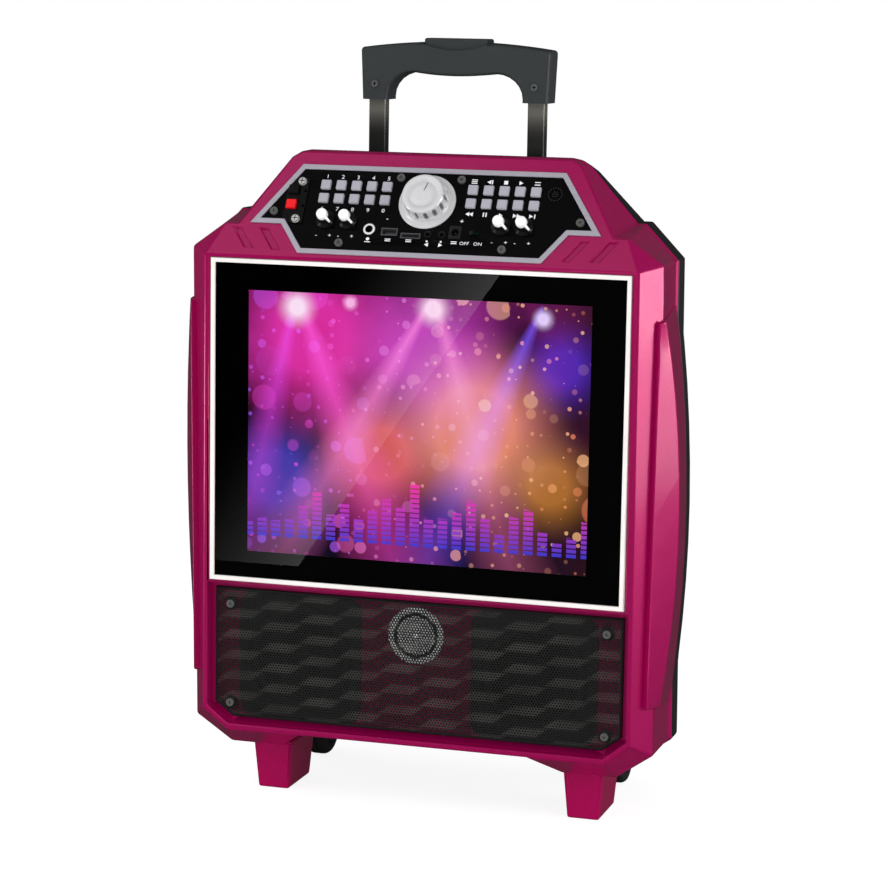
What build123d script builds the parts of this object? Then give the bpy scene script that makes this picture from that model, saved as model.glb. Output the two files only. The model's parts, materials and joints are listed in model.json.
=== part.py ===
"""Trolley karaoke machine: a 15 inch screen over a pair of woofers, with a sloped control console,
a telescopic handle, two moulded feet and two rear wheels.

Working frame, in millimetres: X to the right as seen from the front, Y towards the back with zero
on the face of the screen glass, Z up with zero on the ground.  Each piece is moved by ORIGIN when
it is written, so that the part's own origin is at the bottom centre of its box.
"""
from build123d import *
import math
import os

os.makedirs("parts", exist_ok=True)

# ---------------------------------------------------------------- driving dimensions
# Cabinet, seen from the front (the half widths are measured from the middle plane)
body_half = 208.7            # flat sides
body_top = 570.0             # top of the console
console_top_half = 117.0     # flat part of the top
console_round = 16.5         # width of the rounded top corner
console_round_drop = 6.5     # how far that corner falls
shoulder_in_inset = 34.7     # the flat shoulder's inner end, in from the flat sides
shoulder_out_inset = 27.2    # and its outer end
shoulder_z = 516.8           # height of the shoulder at the seam
widest_top = 487.8           # top of the flat sides
corner_z = 68.4              # bottom of the flat sides
pod_inset = 32.7             # the flat under each foot pod ends this far in from the sides
pod_flat = 128.0             # inner end of that flat
pod_in = 103.5               # where a pod dies into the belly
pod_z = 45.3                 # underside of the pods
belly_z = 62.8               # underside of the cabinet between the pods

# Cabinet, front to back
crest_top = 483.2            # top of the front face
crest_top_y = -1.5           # the front face leans back towards the ground
crest_lean = 0.0112
crest_inset_top = 17.1       # the front face's edges, in from the flat sides, at its top
crest_inset_low = 15.3
crest_corner_z = 81.0
crest_rise = 400.0           # height over which the front face widens from low to top
crest_pod_inset = 38.4
side_edge_y = 15.0           # front edge of the flat sides, at the top
side_edge_lean = 0.0287
pod_front_y = 30.0
seam_y = 62.0                # back edge of the front shell's sides, at widest_top
seam_lean = 0.06
lip_out = 2.0                # flared lip where the two shells meet
lip_depth = 4.0
boss_inset = 8.7             # screw bosses inside the flat sides
band_depth = 22.0            # straight part of the rear shell behind the lip
band_top_fall = 5.0
back_y = 222.0               # back face, at the deck
back_lean = 0.143
back_inset = 32.7            # the back face is this much narrower on each side
back_top = 548.0
deck_z = 70.0                # flat over the wheels
deck_y = 135.0
wall = 3.0                   # moulded wall
rim_back = 9.5               # back of the rim round the screen

# Console slope and its control panel, in slope coordinates u (right), v (up), n (out)
slope_tilt = 30.0
slope_y = 0.5
slope_z = 486.3
slope_wall = 5.5
slope_v_shoulder = 25.9
slope_v_corner = 92.5
slope_v_top = 97.5
slope_inset_in = 42.5        # the slope's shoulder, in from the flat sides
slope_inset_out = 29.7
slope_half_corner = 128.5
slope_half_top = 120.0
trim_v_top = 84.3
trim_v_waist = 27.0
trim_half_top = 117.2
trim_half_wide = 155.2
trim_half_notch = 127.1
trim_half_low = 107.4
trim_width = 4.6
trim_height = 1.8
plate_inset = 1.5
plate_thick = 2.5
ledge = 7.5
groove_v = (3.7, 21.8)
groove_top = (162.7, 138.4)
groove_low = (149.6, 125.4)
groove_width = 6.0
groove_depth = 2.0

# Screen
lcd_width = 304.1            # 15 inch picture, 4:3
lcd_height = 228.1
screen_z = 338.9
glass_width = 363.4
glass_height = 274.0
glass_thick = 3.0
bezel_width = 4.2
bezel_proud = 2.0
bezel_depth = 8.5
module_width = 326.0
module_height = 253.0
module_thick = 9.0
module_screw_x = 171.5
module_screw_z = 90.0

# Speakers
opening_inset = 19.2         # in from the flat sides
opening_top = 194.4
opening_corner_z = 83.5
opening_low_inset = 38.9
opening_low = 68.2
baffle_y = 14.0
baffle_thick = 5.0
grille_inset = 5.0
grille_y = 10.0
grille_thick = 1.0
grille_screw_inset = 19.5    # in from the opening's sides
grille_screw_z = (86.0, 175.0)
woofer_x = 106.0
woofer_z = 131.3
woofer_frame = 112.0
woofer_cone_r = 46.0
woofer_magnet_r = 38.0
woofer_depth = 64.0
tweeter_z = 159.3
tweeter_r = 25.0
flange_thick = 2.5

# Side wings
wing_low = 112.0
wing_high = 441.0
wing_mid = 279.0
wing_tip_out = 3.1           # how far the wing's ends stand out from the flat sides
wing_bulge = 11.3
wing_edge_y = 40.0
wing_edge_z = 220.0
wing_step = 5.5
wing_steps = 10              # sections along a wing
wing_share = (0.5, 0.75)     # where a wing starts between the crest and the flat sides
wing_share_z = (120.0, 440.0)
wing_bulge_half = 163.0      # the bulge dies out this far above and below wing_mid
wing_edge_fall = 23.0        # the outer edge comes forward by this at the ground
wing_bury = 1.2              # how far a wing starts under the surface
wing_seam_in = 3.0           # the outer edge falls in by this at the seam
wing_slant_y = (10.0, 85.0)  # over this depth the wing's ends slant
wing_slant_top = 13.0
wing_slant_low = 9.0

# Feet and wheels
foot_x = (125.3, 161.1)
foot_y = (44.8, 107.0)
foot_taper = 3.5
foot_wall = 9.0              # sides of the hollow foot
foot_sole = 10.0
foot_rib_half = 2.0
wheel_r = 30.0
wheel_width = 18.0
wheel_x = 143.0
wheel_y = 178.0
axle_r = 3.0
fork_gap = 1.5
fork_thick = 3.0
bracket_thick = 4.0
bracket_side = 6.0           # the plate reaches past the fork
bracket_half_y = 24.0
fork_half_top = 18.0
fork_half_low = 9.0
fork_step = 12.0             # where the fork narrows, above the axle

# Handle
tube_x = 72.1
tube_y = 110.5
tube_width = 15.2
tube_depth = 12.5
tube_wall = 1.2
channel_wall = 1.6
channel_top = 566.0
inner_tube_low = 118.0
grip_low = 615.0
grip_high = 660.5            # where the top leaves the corners
grip_crown = 5.8             # how far the top rises from there
grip_half = 84.0             # at the foot of each leg
grip_flare = 1.8             # how much wider the grip is near its top
grip_corner = 3.4
grip_edge = 3.0              # chamfer round the front and the back
grip_depth = 28.0
grip_y = 112.0               # middle of the grip, front to back
grip_leg = 23.1
grip_arch_z = 639.2
grip_arch_half = 37.0        # half width of the bar between the arches
grip_arch_start = 3.0        # straight foot under each arch
grip_sag = 2.7               # how far the bar hangs down in its middle
grip_wall = 3.0              # wall before and behind the release button
grip_screw_z = 628.8
tube_seat = 22.0             # how far the tubes go into the grip
release_half = 28.3
release_top = 669.0
release_low = 650.0
notch_low = 658.6            # bottom and ends of the bowl that shows the button
notch_edge = 663.9
release_travel = 3.0
handle_stroke = 300.0        # up from the height at rest
handle_drop = 40.0           # and down
channel_tie_z = (190.0, 520.0)
channel_tie_high = 22.0
channel_tie_out = 14.0
channel_tie_thick = 2.0

# Controls
key_size = 8.6
key_proud = 2.0
key_pitch = 13.8
key_first_u = 38.1
key_row_v = (65.6, 52.9)
key_travel = 1.0
board_n = -16.0
board_thick = 1.6
volume_v = 52.4
volume_cap_r = 18.6
volume_skirt_r = 25.0
volume_height = 18.0
knob_u = (68.0, 87.9)
knob_v = 32.5
knob_skirt_r = 8.4
knob_stem_r = 4.4
knob_height = 14.0
knob_point = -37.6           # degrees: where the pointer rests
shaft_r = 3.0
panel_screw_uv = ((26.9, 74.3), (72.0, 11.0), (135.7, 38.5))
mic_jack_uv = (-47.3, 25.2)
mic_bore_r = 3.25
mic_bore_length = 31.0
usb_uv = (-29.1, 23.7)
card_uv = (-9.9, 20.7)
line_jack_uv = ((5.2, 22.7), (17.6, 22.7))
line_bore_r = 1.8
line_bore_length = 14.0
dc_uv = (28.9, 25.3)
dc_bore_r = 3.2
switch_uv = (44.6, 25.3)
switch_travel = 3.0
terminal_u = -117.5
terminal_v = 49.3
terminal_screw_v = 17.75
lever_v = 52.2
lever_pitch = 14.1
lever_size = 8.4
lever_turn = 12.0            # degrees that a lever tips when pressed
vent_uv = (109.9, 64.6)
vent_ring_r = 4.3
vent_hole_r = 0.7
key_flange = 1.0             # thickness of the flange that keeps a key in
key_flange_wider = 1.9       # how much wider it is than the key
key_stem = 3.5
key_stem_r = 1.6
tact_gap = 0.2               # from a pressed key's stem to its tact switch
pot_gap = 1.0                # from the pots to the plate
shaft_reach = 6.0            # how far a shaft goes into its pot
knob_lift = 0.4              # gap under the knobs
flute_count = 12
flute_r = 2.2
flute_low = 6.0              # where the flutes start, above the gap
mic_barrel_r = 5.3
usb_size = (14.4, 6.8)
usb_mouth = (12.8, 5.2)
card_size = (17.6, 4.8)
card_mouth = (16.0, 3.2)
line_barrel_r = 3.2
dc_size = (10.7, 12.0)
switch_slot = (7.0, 3.4)
switch_knob = (3.4, 3.0)
socket_proud = 0.8
terminal_flange = 1.6
terminal_half_v = 21.3
terminal_low = -12.0
terminal_body = (19.0, 26.0)
lever_long = 9.0
lever_top = 4.2
lever_hub_r = 1.4
lever_pin_u = -123.8
lever_pin_n = 0.4
lever_pin_r = 1.0
lever_floor = -2.6
panel_posts = ((-103.5, 70.0), (103.5, 70.0), (-98.0, 14.0), (98.0, 14.0), (0.0, 70.0))

# Fixings
boss_z = (130.0, 300.0, 460.0)
boss_r = 6.5
case_screw_r = 2.0
case_head_r = 3.9
case_head_h = 2.4
case_screw_seat = 9.0
grip_screw_r = 1.6

# Inside
battery_size = (151.0, 65.0, 94.0)
carrier_z = (200.0, 500.0)
amp_z = 300.0
amp_size = (120.0, 90.0)
amp_y = 150.0

# Limits outside the whole machine, for cuts
beyond = 300.0
before = -100.0
above = 700.0

# Clearances
fit_gap = 0.2                # between moulded pieces that drop into each other
slide_gap = 0.15             # each side of something that slides
shaft_gap = 0.05             # radial, round a shaft that turns

# ---------------------------------------------------------------- derived places
shoulder_in = body_half - shoulder_in_inset
shoulder_out = body_half - shoulder_out_inset
pod_out = body_half - pod_inset
crest_half_top = body_half - crest_inset_top
crest_half_low = body_half - crest_inset_low
crest_low_half = body_half - crest_pod_inset
back_half = body_half - back_inset
slope_half_shoulder_in = body_half - slope_inset_in
slope_half_shoulder_out = body_half - slope_inset_out
opening_half = body_half - opening_inset
opening_low_half = body_half - opening_low_inset
grille_screw_x = opening_half - grille_screw_inset
wing_tip_x = body_half + wing_tip_out
boss_x = body_half - boss_inset
FRONT_Y = -bezel_proud
ORIGIN = Location((0, -(FRONT_Y + back_y) / 2, 0))
sin_tilt = math.sin(math.radians(slope_tilt))
cos_tilt = math.cos(math.radians(slope_tilt))
PANEL = Plane(origin=(0, slope_y, slope_z), x_dir=(1, 0, 0), z_dir=(0, -cos_tilt, sin_tilt))
plate_under = -plate_thick
board_top = board_n + board_thick
key_hole = key_size + 2 * fit_gap
flange_size = key_size + key_flange_wider
flange_top = plate_under - fit_gap
flange_low = flange_top - key_flange
stem_low = flange_low - key_stem
tact_top = stem_low - key_travel - tact_gap
pot_top = plate_under - pot_gap
shaft_low = pot_top - shaft_reach
lever_start = lever_pin_u - lever_hub_r
lever_mid = lever_start + (lever_long + 0.9) / 2 - 0.05
lever_pocket = (lever_long + 1.2, lever_size + 0.6)


# ---------------------------------------------------------------- geometry helpers
def crest_y(z):
    """Y of the leaning front face at height z."""
    return crest_top_y + (crest_top - z) * crest_lean


def edge_y(z):
    """Y of the front edge of the flat sides at height z."""
    return side_edge_y + (widest_top - z) * side_edge_lean


def seam_at(z):
    """Y of the back edge of the front shell's sides at height z."""
    return seam_y + (widest_top - z) * seam_lean


def back_at(z):
    """Y of the back face at height z."""
    return back_y - (z - deck_z) * back_lean


def slope_point(u, v, n=0.0):
    """A point of the console slope, in working coordinates."""
    y = slope_y + v * sin_tilt - n * cos_tilt
    z = slope_z + v * cos_tilt + n * sin_tilt
    return (u, y, z)


def mirrored(points):
    """Points of a right half outline, bottom to top, closed with their mirror image."""
    left = [(-x, z) for x, z in reversed(points)]
    return points + left


def inset(points, distance):
    """Move each side of a closed anticlockwise outline inwards by a distance."""
    count = len(points)
    moved = []
    for i in range(count):
        before, here, after = points[i - 1], points[i], points[(i + 1) % count]
        ax, az = here[0] - before[0], here[1] - before[1]
        bx, bz = after[0] - here[0], after[1] - here[1]
        la, lb = math.hypot(ax, az), math.hypot(bx, bz)
        ax, az, bx, bz = ax / la, az / la, bx / lb, bz / lb
        scale = distance / (1 + ax * bx + az * bz)
        moved.append((here[0] - (az + bz) * scale, here[1] + (ax + bx) * scale))
    return moved


def face_of(corners):
    """A flat face through its corners, or a ruled one through four that aren't in one plane."""
    corners = [Vector(*c) for c in corners]
    normal = (corners[1] - corners[0]).cross(corners[2] - corners[0]).normalized()
    off = max(abs((c - corners[0]).dot(normal)) for c in corners)
    if len(corners) == 4 and off > 1e-6:
        first = Edge.make_line(corners[0], corners[1])
        second = Edge.make_line(corners[3], corners[2])
        return Face.make_surface_from_curves(first, second)
    return Face(Wire.make_polygon(corners, close=True))


def polyhedron(faces):
    """A closed solid from lists of corner points."""
    return Solid(Shell([face_of(f) for f in faces]))


def both_sides(faces):
    """Faces of the right half and their mirror images."""
    return faces + [[(-x, y, z) for x, y, z in reversed(f)] for f in faces]


def ring_solid(rings):
    """A solid through closed outlines of 3-D points, with ruled sides and flat ends."""
    faces = [rings[0], rings[-1]]
    for near, far in zip(rings, rings[1:]):
        for i in range(len(near)):
            j = (i + 1) % len(near)
            faces.append([near[i], near[j], far[j], far[i]])
    return polyhedron(faces)


def prism(outline, y_front, y_rear):
    """Extrude an outline of (x, z) points from one Y to another."""
    base = Face(Wire.make_polygon([Vector(x, y_front, z) for x, z in outline], close=True))
    return Solid.extrude(base, Vector(0, y_rear - y_front, 0))


def block(x0, x1, y0, y1, z0, z1):
    """A box between two corners."""
    size = (x1 - x0, y1 - y0, z1 - z0)
    return Pos((x0 + x1) / 2, (y0 + y1) / 2, (z0 + z1) / 2) * Box(*size)


def rod_y(x, z, radius, y0, y1):
    """A cylinder along Y."""
    return Pos(x, (y0 + y1) / 2, z) * Rot(90, 0, 0) * Cylinder(radius, y1 - y0)


def rod_x(y, z, radius, x0, x1):
    """A cylinder along X."""
    return Pos((x0 + x1) / 2, y, z) * Rot(0, 90, 0) * Cylinder(radius, x1 - x0)


def on_panel(u, v, n0, n1, shape):
    """Extrude a sketch from one height over the console slope to another."""
    return PANEL * Pos(u, v, n0) * extrude(shape, n1 - n0)


def panel_disc(u, v, radius, n0, n1):
    return on_panel(u, v, n0, n1, Circle(radius))


def panel_box(u, v, width, height, n0, n1, corner=0.0):
    sketch = RectangleRounded(width, height, corner) if corner else Rectangle(width, height)
    return on_panel(u, v, n0, n1, sketch)


def panel_prism(outline, n0, n1):
    """Extrude an outline of (u, v) points over the console slope."""
    return PANEL * Pos(0, 0, n0) * extrude(make_face(Polyline(*outline, close=True)), n1 - n0)


def solid_of(shape):
    """The one solid of a boolean result."""
    solids = shape.solids()
    if len(solids) != 1:
        raise ValueError(f"expected one solid, got {len(solids)}")
    return solids[0]


# ---------------------------------------------------------------- cabinet outlines
def cabinet_outline():
    """The front view of the cabinet at the seam, anticlockwise from the belly."""
    half = [
        (pod_in, belly_z),
        (pod_flat, pod_z),
        (pod_out, pod_z),
        (body_half, corner_z),
        (body_half, widest_top),
        (shoulder_out, shoulder_z),
        (shoulder_in, shoulder_z),
        (console_top_half + console_round, body_top - console_round_drop),
        (console_top_half + console_round / 2, body_top - console_round_drop / 4),
        (console_top_half, body_top),
    ]
    return mirrored(half)


def back_outline():
    """The front view of the back face, corner for corner with the cabinet outline."""
    low = deck_z - 6
    fall = body_top - back_top
    narrow = body_half - back_half
    half = [
        (pod_in, low),
        (pod_flat, low - 2),
        (pod_out - narrow, low - 2),
        (back_half, corner_z + 16),
        (back_half, widest_top - fall),
        (shoulder_out - narrow, shoulder_z - fall),
        (shoulder_in - narrow, shoulder_z - fall),
        (console_top_half + console_round - narrow / 2, back_top - console_round_drop),
        (console_top_half + console_round / 2 - narrow / 2, back_top - console_round_drop / 4),
        (console_top_half - narrow / 2, back_top),
    ]
    return mirrored(half)


def seam_ring(distance, shift):
    """The cabinet outline grown by a distance, on the seam moved back by shift."""
    return [(x, seam_at(z) + shift, z) for x, z in inset(cabinet_outline(), -distance)]


def band_ring(distance):
    """Back end of the rear shell's straight band: its top falls, so that it drains."""
    shift = lip_depth + band_depth
    ring = []
    for x, z in inset(cabinet_outline(), -distance):
        top = z > shoulder_z + lip_out + 1
        ring.append((x, seam_at(z) + shift, z - band_top_fall if top else z))
    return ring


def back_ring(distance, forward):
    """The back outline shrunk by a distance, on the back face moved forward."""
    return [(x, back_at(z) - forward, z) for x, z in inset(back_outline(), distance)]


def front_corners():
    """Named corners of the front shell's right half."""
    top = (crest_top_y + crest_top * crest_lean - slope_y + slope_z * sin_tilt / cos_tilt)
    top /= crest_lean + sin_tilt / cos_tilt
    at = {
        "c1": (crest_half_top, crest_y(top), top),
        "c2": (crest_half_low, crest_y(crest_corner_z), crest_corner_z),
        "c3": (crest_low_half, crest_y(belly_z), belly_z),
        "e1": (body_half, edge_y(widest_top), widest_top),
        "e2": (body_half, edge_y(corner_z), corner_z),
        "e3": (pod_out, pod_front_y, pod_z),
        "p1": (pod_in, crest_y(belly_z), belly_z),
        "p2": (pod_flat, pod_front_y, pod_z),
        "s2": slope_point(slope_half_shoulder_out, slope_v_shoulder),
        "s3": slope_point(slope_half_shoulder_in, slope_v_shoulder),
        "s4": slope_point(slope_half_corner, slope_v_corner),
        "s5": slope_point(slope_half_top, slope_v_top),
    }
    names = ("p4", "p3", "m7", "m6", "m5", "m4", "m3", "m2", "m1b", "m1")
    half = cabinet_outline()[: len(names)]
    for name, (x, z) in zip(names, half):
        at[name] = (x, seam_at(z), z)
    return at


def front_block():
    """The front shell's outer form, from the leaning face back to the seam."""
    at = front_corners()

    def right(*names):
        return [at[n] for n in names]

    def across(*names):
        half = right(*names)
        return half + [(-x, y, z) for x, y, z in reversed(half)]

    sides = both_sides([
        right("c1", "c2", "e2", "e1"),
        right("c1", "e1", "s2"),
        right("c2", "c3", "e3", "e2"),
        right("e1", "e2", "m6", "m5"),
        right("e2", "e3", "m7", "m6"),
        right("e3", "p2", "p3", "m7"),
        right("c3", "p1", "p2", "e3"),
        right("p1", "p4", "p3", "p2"),
        right("s2", "e1", "m5", "m4"),
        right("s2", "m4", "m3", "s3"),
        right("s3", "m3", "m2", "s4"),
        right("s4", "m2", "m1b"),
        right("s4", "m1b", "s5"),
        right("s5", "m1b", "m1"),
    ])
    middle = [
        across("s5", "m1"),
        across("c1", "s2", "s3", "s4", "s5"),
        across("p1", "c3", "c2", "c1"),
        across("p1", "p4"),
        across("p4", "p3", "m7", "m6", "m5", "m4", "m3", "m2", "m1b", "m1"),
    ]
    return polyhedron(sides + middle)


def outside(a, b, c, skin, within=(0, 60, 300), reach=700.0):
    """All that lies beyond a plane through three points, as seen from a point within.

    The plane is moved inwards by a skin.
    """
    a, b, c = Vector(*a), Vector(*b), Vector(*c)
    normal = (b - a).cross(c - a).normalized()
    if (a - Vector(*within)).dot(normal) < 0:
        normal = normal * -1
    middle = (a + b + c) * (1 / 3)
    return Plane(origin=middle, z_dir=normal) * Pos(0, 0, reach / 2 - skin) * Box(reach, reach, reach)


def front_cavity():
    """The inside of the front shell."""
    at = front_corners()
    y_end = seam_at(0) + 60
    space = prism(inset(cabinet_outline(), wall), rim_back, y_end)
    space -= block(-beyond, beyond, 0, baffle_back, 0, shelf_top)
    space -= outside(slope_point(0, 0), slope_point(10, 0), slope_point(0, 10), slope_wall)
    everywhere = (-beyond, beyond, before, beyond, before, above)
    pods = (-beyond, beyond, before, beyond, before, belly_z)
    shoulder = (slope_half_corner, beyond, before, beyond, 300, above)
    console = (0, beyond, before, beyond, shoulder_z - 3 * wall, above)
    facets = [
        ("c1", "c2", "e1", everywhere), ("c2", "e2", "e1", everywhere),
        ("c1", "e1", "s2", everywhere), ("c2", "c3", "e3", everywhere),
        ("c2", "e3", "e2", everywhere), ("c3", "p1", "p2", pods),
        ("s2", "m4", "m3", shoulder), ("s2", "e1", "m5", everywhere), ("s2", "m5", "m4", everywhere),
        ("s3", "m3", "m2", console), ("s3", "m2", "s4", console),
        ("s4", "m2", "m1b", console), ("s4", "m1b", "s5", console), ("s5", "m1b", "m1", console),
    ]
    for a, b, c, limit in facets:
        cut = outside(at[a], at[b], at[c], wall) & block(*limit)
        space -= cut
        space -= cut.mirror(Plane.YZ)
    return space


# ---------------------------------------------------------------- side wings
def wing_levels(end):
    """Heights of the wing's cross-sections, moved in from both ends."""
    low, high = wing_low + end, wing_high - end
    return [low + (high - low) * i / wing_steps for i in range(wing_steps + 1)]


def wing_line(z):
    """Root, front edge, outer edge and seam edge of the right wing at a height."""
    low, high = wing_share_z
    rise = min(1.0, max(0.0, (z - low) / (high - low)))
    share = wing_share[0] + (wing_share[1] - wing_share[0]) * rise
    half = crest_half_low + (crest_half_top - crest_half_low) * (z - crest_corner_z) / crest_rise
    root = (half + (body_half - half) * share, crest_y(z) + (edge_y(z) - crest_y(z)) * share)
    dx, dy = body_half - half, edge_y(z) - crest_y(z)
    size = math.hypot(dx, dy)
    out = (dy / size, -dx / size)
    bulge = max(0.0, 1 - ((z - wing_mid) / wing_bulge_half) ** 2)
    edge_x = wing_tip_x + wing_bulge * bulge
    edge_back = wing_edge_y - wing_edge_fall * ((z - wing_edge_z) / wing_edge_z) ** 2
    front = (root[0] + out[0] * wing_step, root[1] + out[1] * wing_step)
    buried = (root[0] - out[0] * wing_bury, root[1] - out[1] * wing_bury)
    return buried, front, (edge_x, edge_back), (edge_x - wing_seam_in, wing_seam(z))


def wing_z(z, y):
    """Height of a wing point: the wing's ends are cut on a slant, wider at the seam."""
    share = (y - wing_slant_y[0]) / (wing_slant_y[1] - wing_slant_y[0])
    if z > wing_mid:
        return z + wing_slant_top * share * (z - wing_mid) / (wing_high - wing_mid)
    return z - wing_slant_low * share * (wing_mid - z) / (wing_mid - wing_low)


def wing_seam(z):
    """Y at which a slanted cross-section of the wing meets the seam."""
    y = seam_at(z) + lip_depth
    for _ in range(6):
        y = seam_at(wing_z(z, y)) + lip_depth
    return y


def wing_front():
    """The right wing of the front shell."""
    rings = []
    for z in wing_levels(0):
        buried, front, edge, seam = wing_line(z)
        inner = (body_half - wing_bury, edge_y(z) + 1.0)
        corner = (body_half - wing_bury, seam[1])
        ring = [buried, front, edge, seam, corner, inner]
        rings.append([(x, y, wing_z(z, y)) for x, y in ring])
    return ring_solid(rings)


def wing_front_space():
    """The hollow inside that wing, open to the inside of the shell."""
    rings = []
    for z in wing_levels(wall + 1):
        buried, front, edge, seam = wing_line(z)
        start = edge_y(z) + 8
        ring = [(body_half - 5, start), (edge[0] - wall - 0.6, max(edge[1] + 4, start + 6)),
                (seam[0] - wall, seam[1] + 1), (body_half - 5, seam[1] + 1)]
        rings.append([(x, y, wing_z(z, y)) for x, y in ring])
    return ring_solid(rings)


def wing_rear(skin):
    """The right wing's continuation on the rear shell, or with a skin the hollow inside it."""
    rings = []
    for z in wing_levels(skin * 1.4):
        seam = wing_line(z)[3]
        band = seam[1] + band_depth
        depth = body_half - 0.5 - skin * 1.2
        start = seam[1] - (1 if skin else 0)
        ring = [(depth, start), (seam[0] - skin, start), (seam[0] - 1.5 - skin, band - skin / 2),
                (body_half - 13.5 - skin * 1.5, band + 40 - skin * 4), (depth - 1, band)]
        rings.append([(x, y, wing_z(z, seam[1])) for x, y in ring])
    return ring_solid(rings)


# ---------------------------------------------------------------- outlines of smaller pieces
def trim_outline(distance):
    """The silver border of the panel, moved in by a distance."""
    half = [(trim_half_low, 0.0), (trim_half_notch, trim_v_waist), (trim_half_wide, trim_v_waist),
            (trim_half_top, trim_v_top)]
    return inset(mirrored(half), distance)


def opening_outline(distance):
    """The speaker opening, moved in by a distance."""
    half = [(opening_low_half, opening_low), (opening_half, opening_corner_z),
            (opening_half, opening_top)]
    return inset(mirrored(half), distance)


# ---------------------------------------------------------------- places shared by several pieces
seam_points = [(x, seam_at(z) + lip_depth, z) for x, z in ((0, 0), (10, 0), (0, 500))]
screen_low = screen_z - glass_height / 2 - bezel_width
screen_high = screen_z + glass_height / 2 + bezel_width
bezel_half = glass_width / 2 + bezel_width
bezel_back = bezel_depth - bezel_proud
baffle_back = baffle_y + baffle_thick
shelf_top = screen_low + 2.6
channel_in_w = tube_width + 2 * slide_gap
channel_in_d = tube_depth + 2 * slide_gap
channel_out_w = channel_in_w + 2 * channel_wall
channel_out_d = channel_in_d + 2 * channel_wall
channel_low = inner_tube_low - 4
tube_top = grip_low + tube_seat
panel_screws = [(side * u, v) for u, v in panel_screw_uv for side in (-1, 1)]
knobs = [(side * u, knob_v) for u in knob_u for side in (-1, 1)]
keys = [(side * (key_first_u + key_pitch * i), v)
        for side in (-1, 1) for v in key_row_v for i in range(5)]
lever_vs = {"lever_black": lever_v + lever_pitch / 2, "lever_red": lever_v - lever_pitch / 2}
battery_y = 136.0 + wall


# ---------------------------------------------------------------- cabinet
def front_shell():
    shell = front_block() + ring_solid([seam_ring(0, 0), seam_ring(lip_out, lip_depth)])
    wing = wing_front()
    shell = shell + wing + wing.mirror(Plane.YZ)
    space = wing_front_space()
    shell = shell - front_cavity() - space - space.mirror(Plane.YZ)
    beyond_seam = outside(*seam_points, 0.0)
    for z in boss_z:
        for x in (-boss_x, boss_x):
            end = seam_at(z) + lip_depth
            boss = rod_y(x, z, boss_r, edge_y(z) + 6, end + 9)
            shell += boss - beyond_seam
            shell -= rod_y(x, z, case_screw_r, end - 16, end + 9)
    # screen opening: the bezel drops in from the front on to a ledge
    shell -= block(-bezel_half - fit_gap, bezel_half + fit_gap, -60, bezel_back,
                   screen_low - fit_gap, screen_high + fit_gap)
    ledge_in = 8.0
    shell -= block(-bezel_half + ledge_in, bezel_half - ledge_in, -60, rim_back + 1,
                   screen_low + ledge_in, screen_high - ledge_in)
    # speaker opening with its baffle
    shell -= prism(opening_outline(0), -60, baffle_y)
    for x in (-woofer_x, woofer_x):
        shell -= rod_y(x, woofer_z, woofer_cone_r + 3, -1, baffle_back + 1)
    shell -= rod_y(0, tweeter_z, tweeter_r - 5, -1, baffle_back + 1)
    for z in grille_screw_z:
        for x in (-grille_screw_x, grille_screw_x):
            shell -= rod_y(x, z, case_screw_r, -1, baffle_back + 1)
    # control console: a pocket for the plate, and the hole inside its ledge
    plate = trim_outline(plate_inset - fit_gap)
    shell -= panel_prism(plate, -plate_thick, 60)
    hole = trim_outline(plate_inset + ledge)
    shell -= panel_prism(hole, -60, 60)
    for u, v in panel_screws:
        shell += panel_disc(u, v, 4.6, -slope_wall - 5, -plate_thick)
        shell -= panel_disc(u, v, case_screw_r, -slope_wall - 4, 1)
    shell -= panel_box(terminal_u, lever_v, terminal_body[0] + 1, terminal_body[1] + 1, -60, 1)
    for top, low in zip(groove_top, groove_low):
        for side in (-1, 1):
            flat = [(low, groove_v[0]), (low + groove_width, groove_v[0]),
                    (top + groove_width, groove_v[1]), (top, groove_v[1])]
            flat = [(side * u, v) for u, v in flat][::side]
            shell -= panel_prism(flat, -groove_depth, 1)
    return solid_of(shell)


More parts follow.
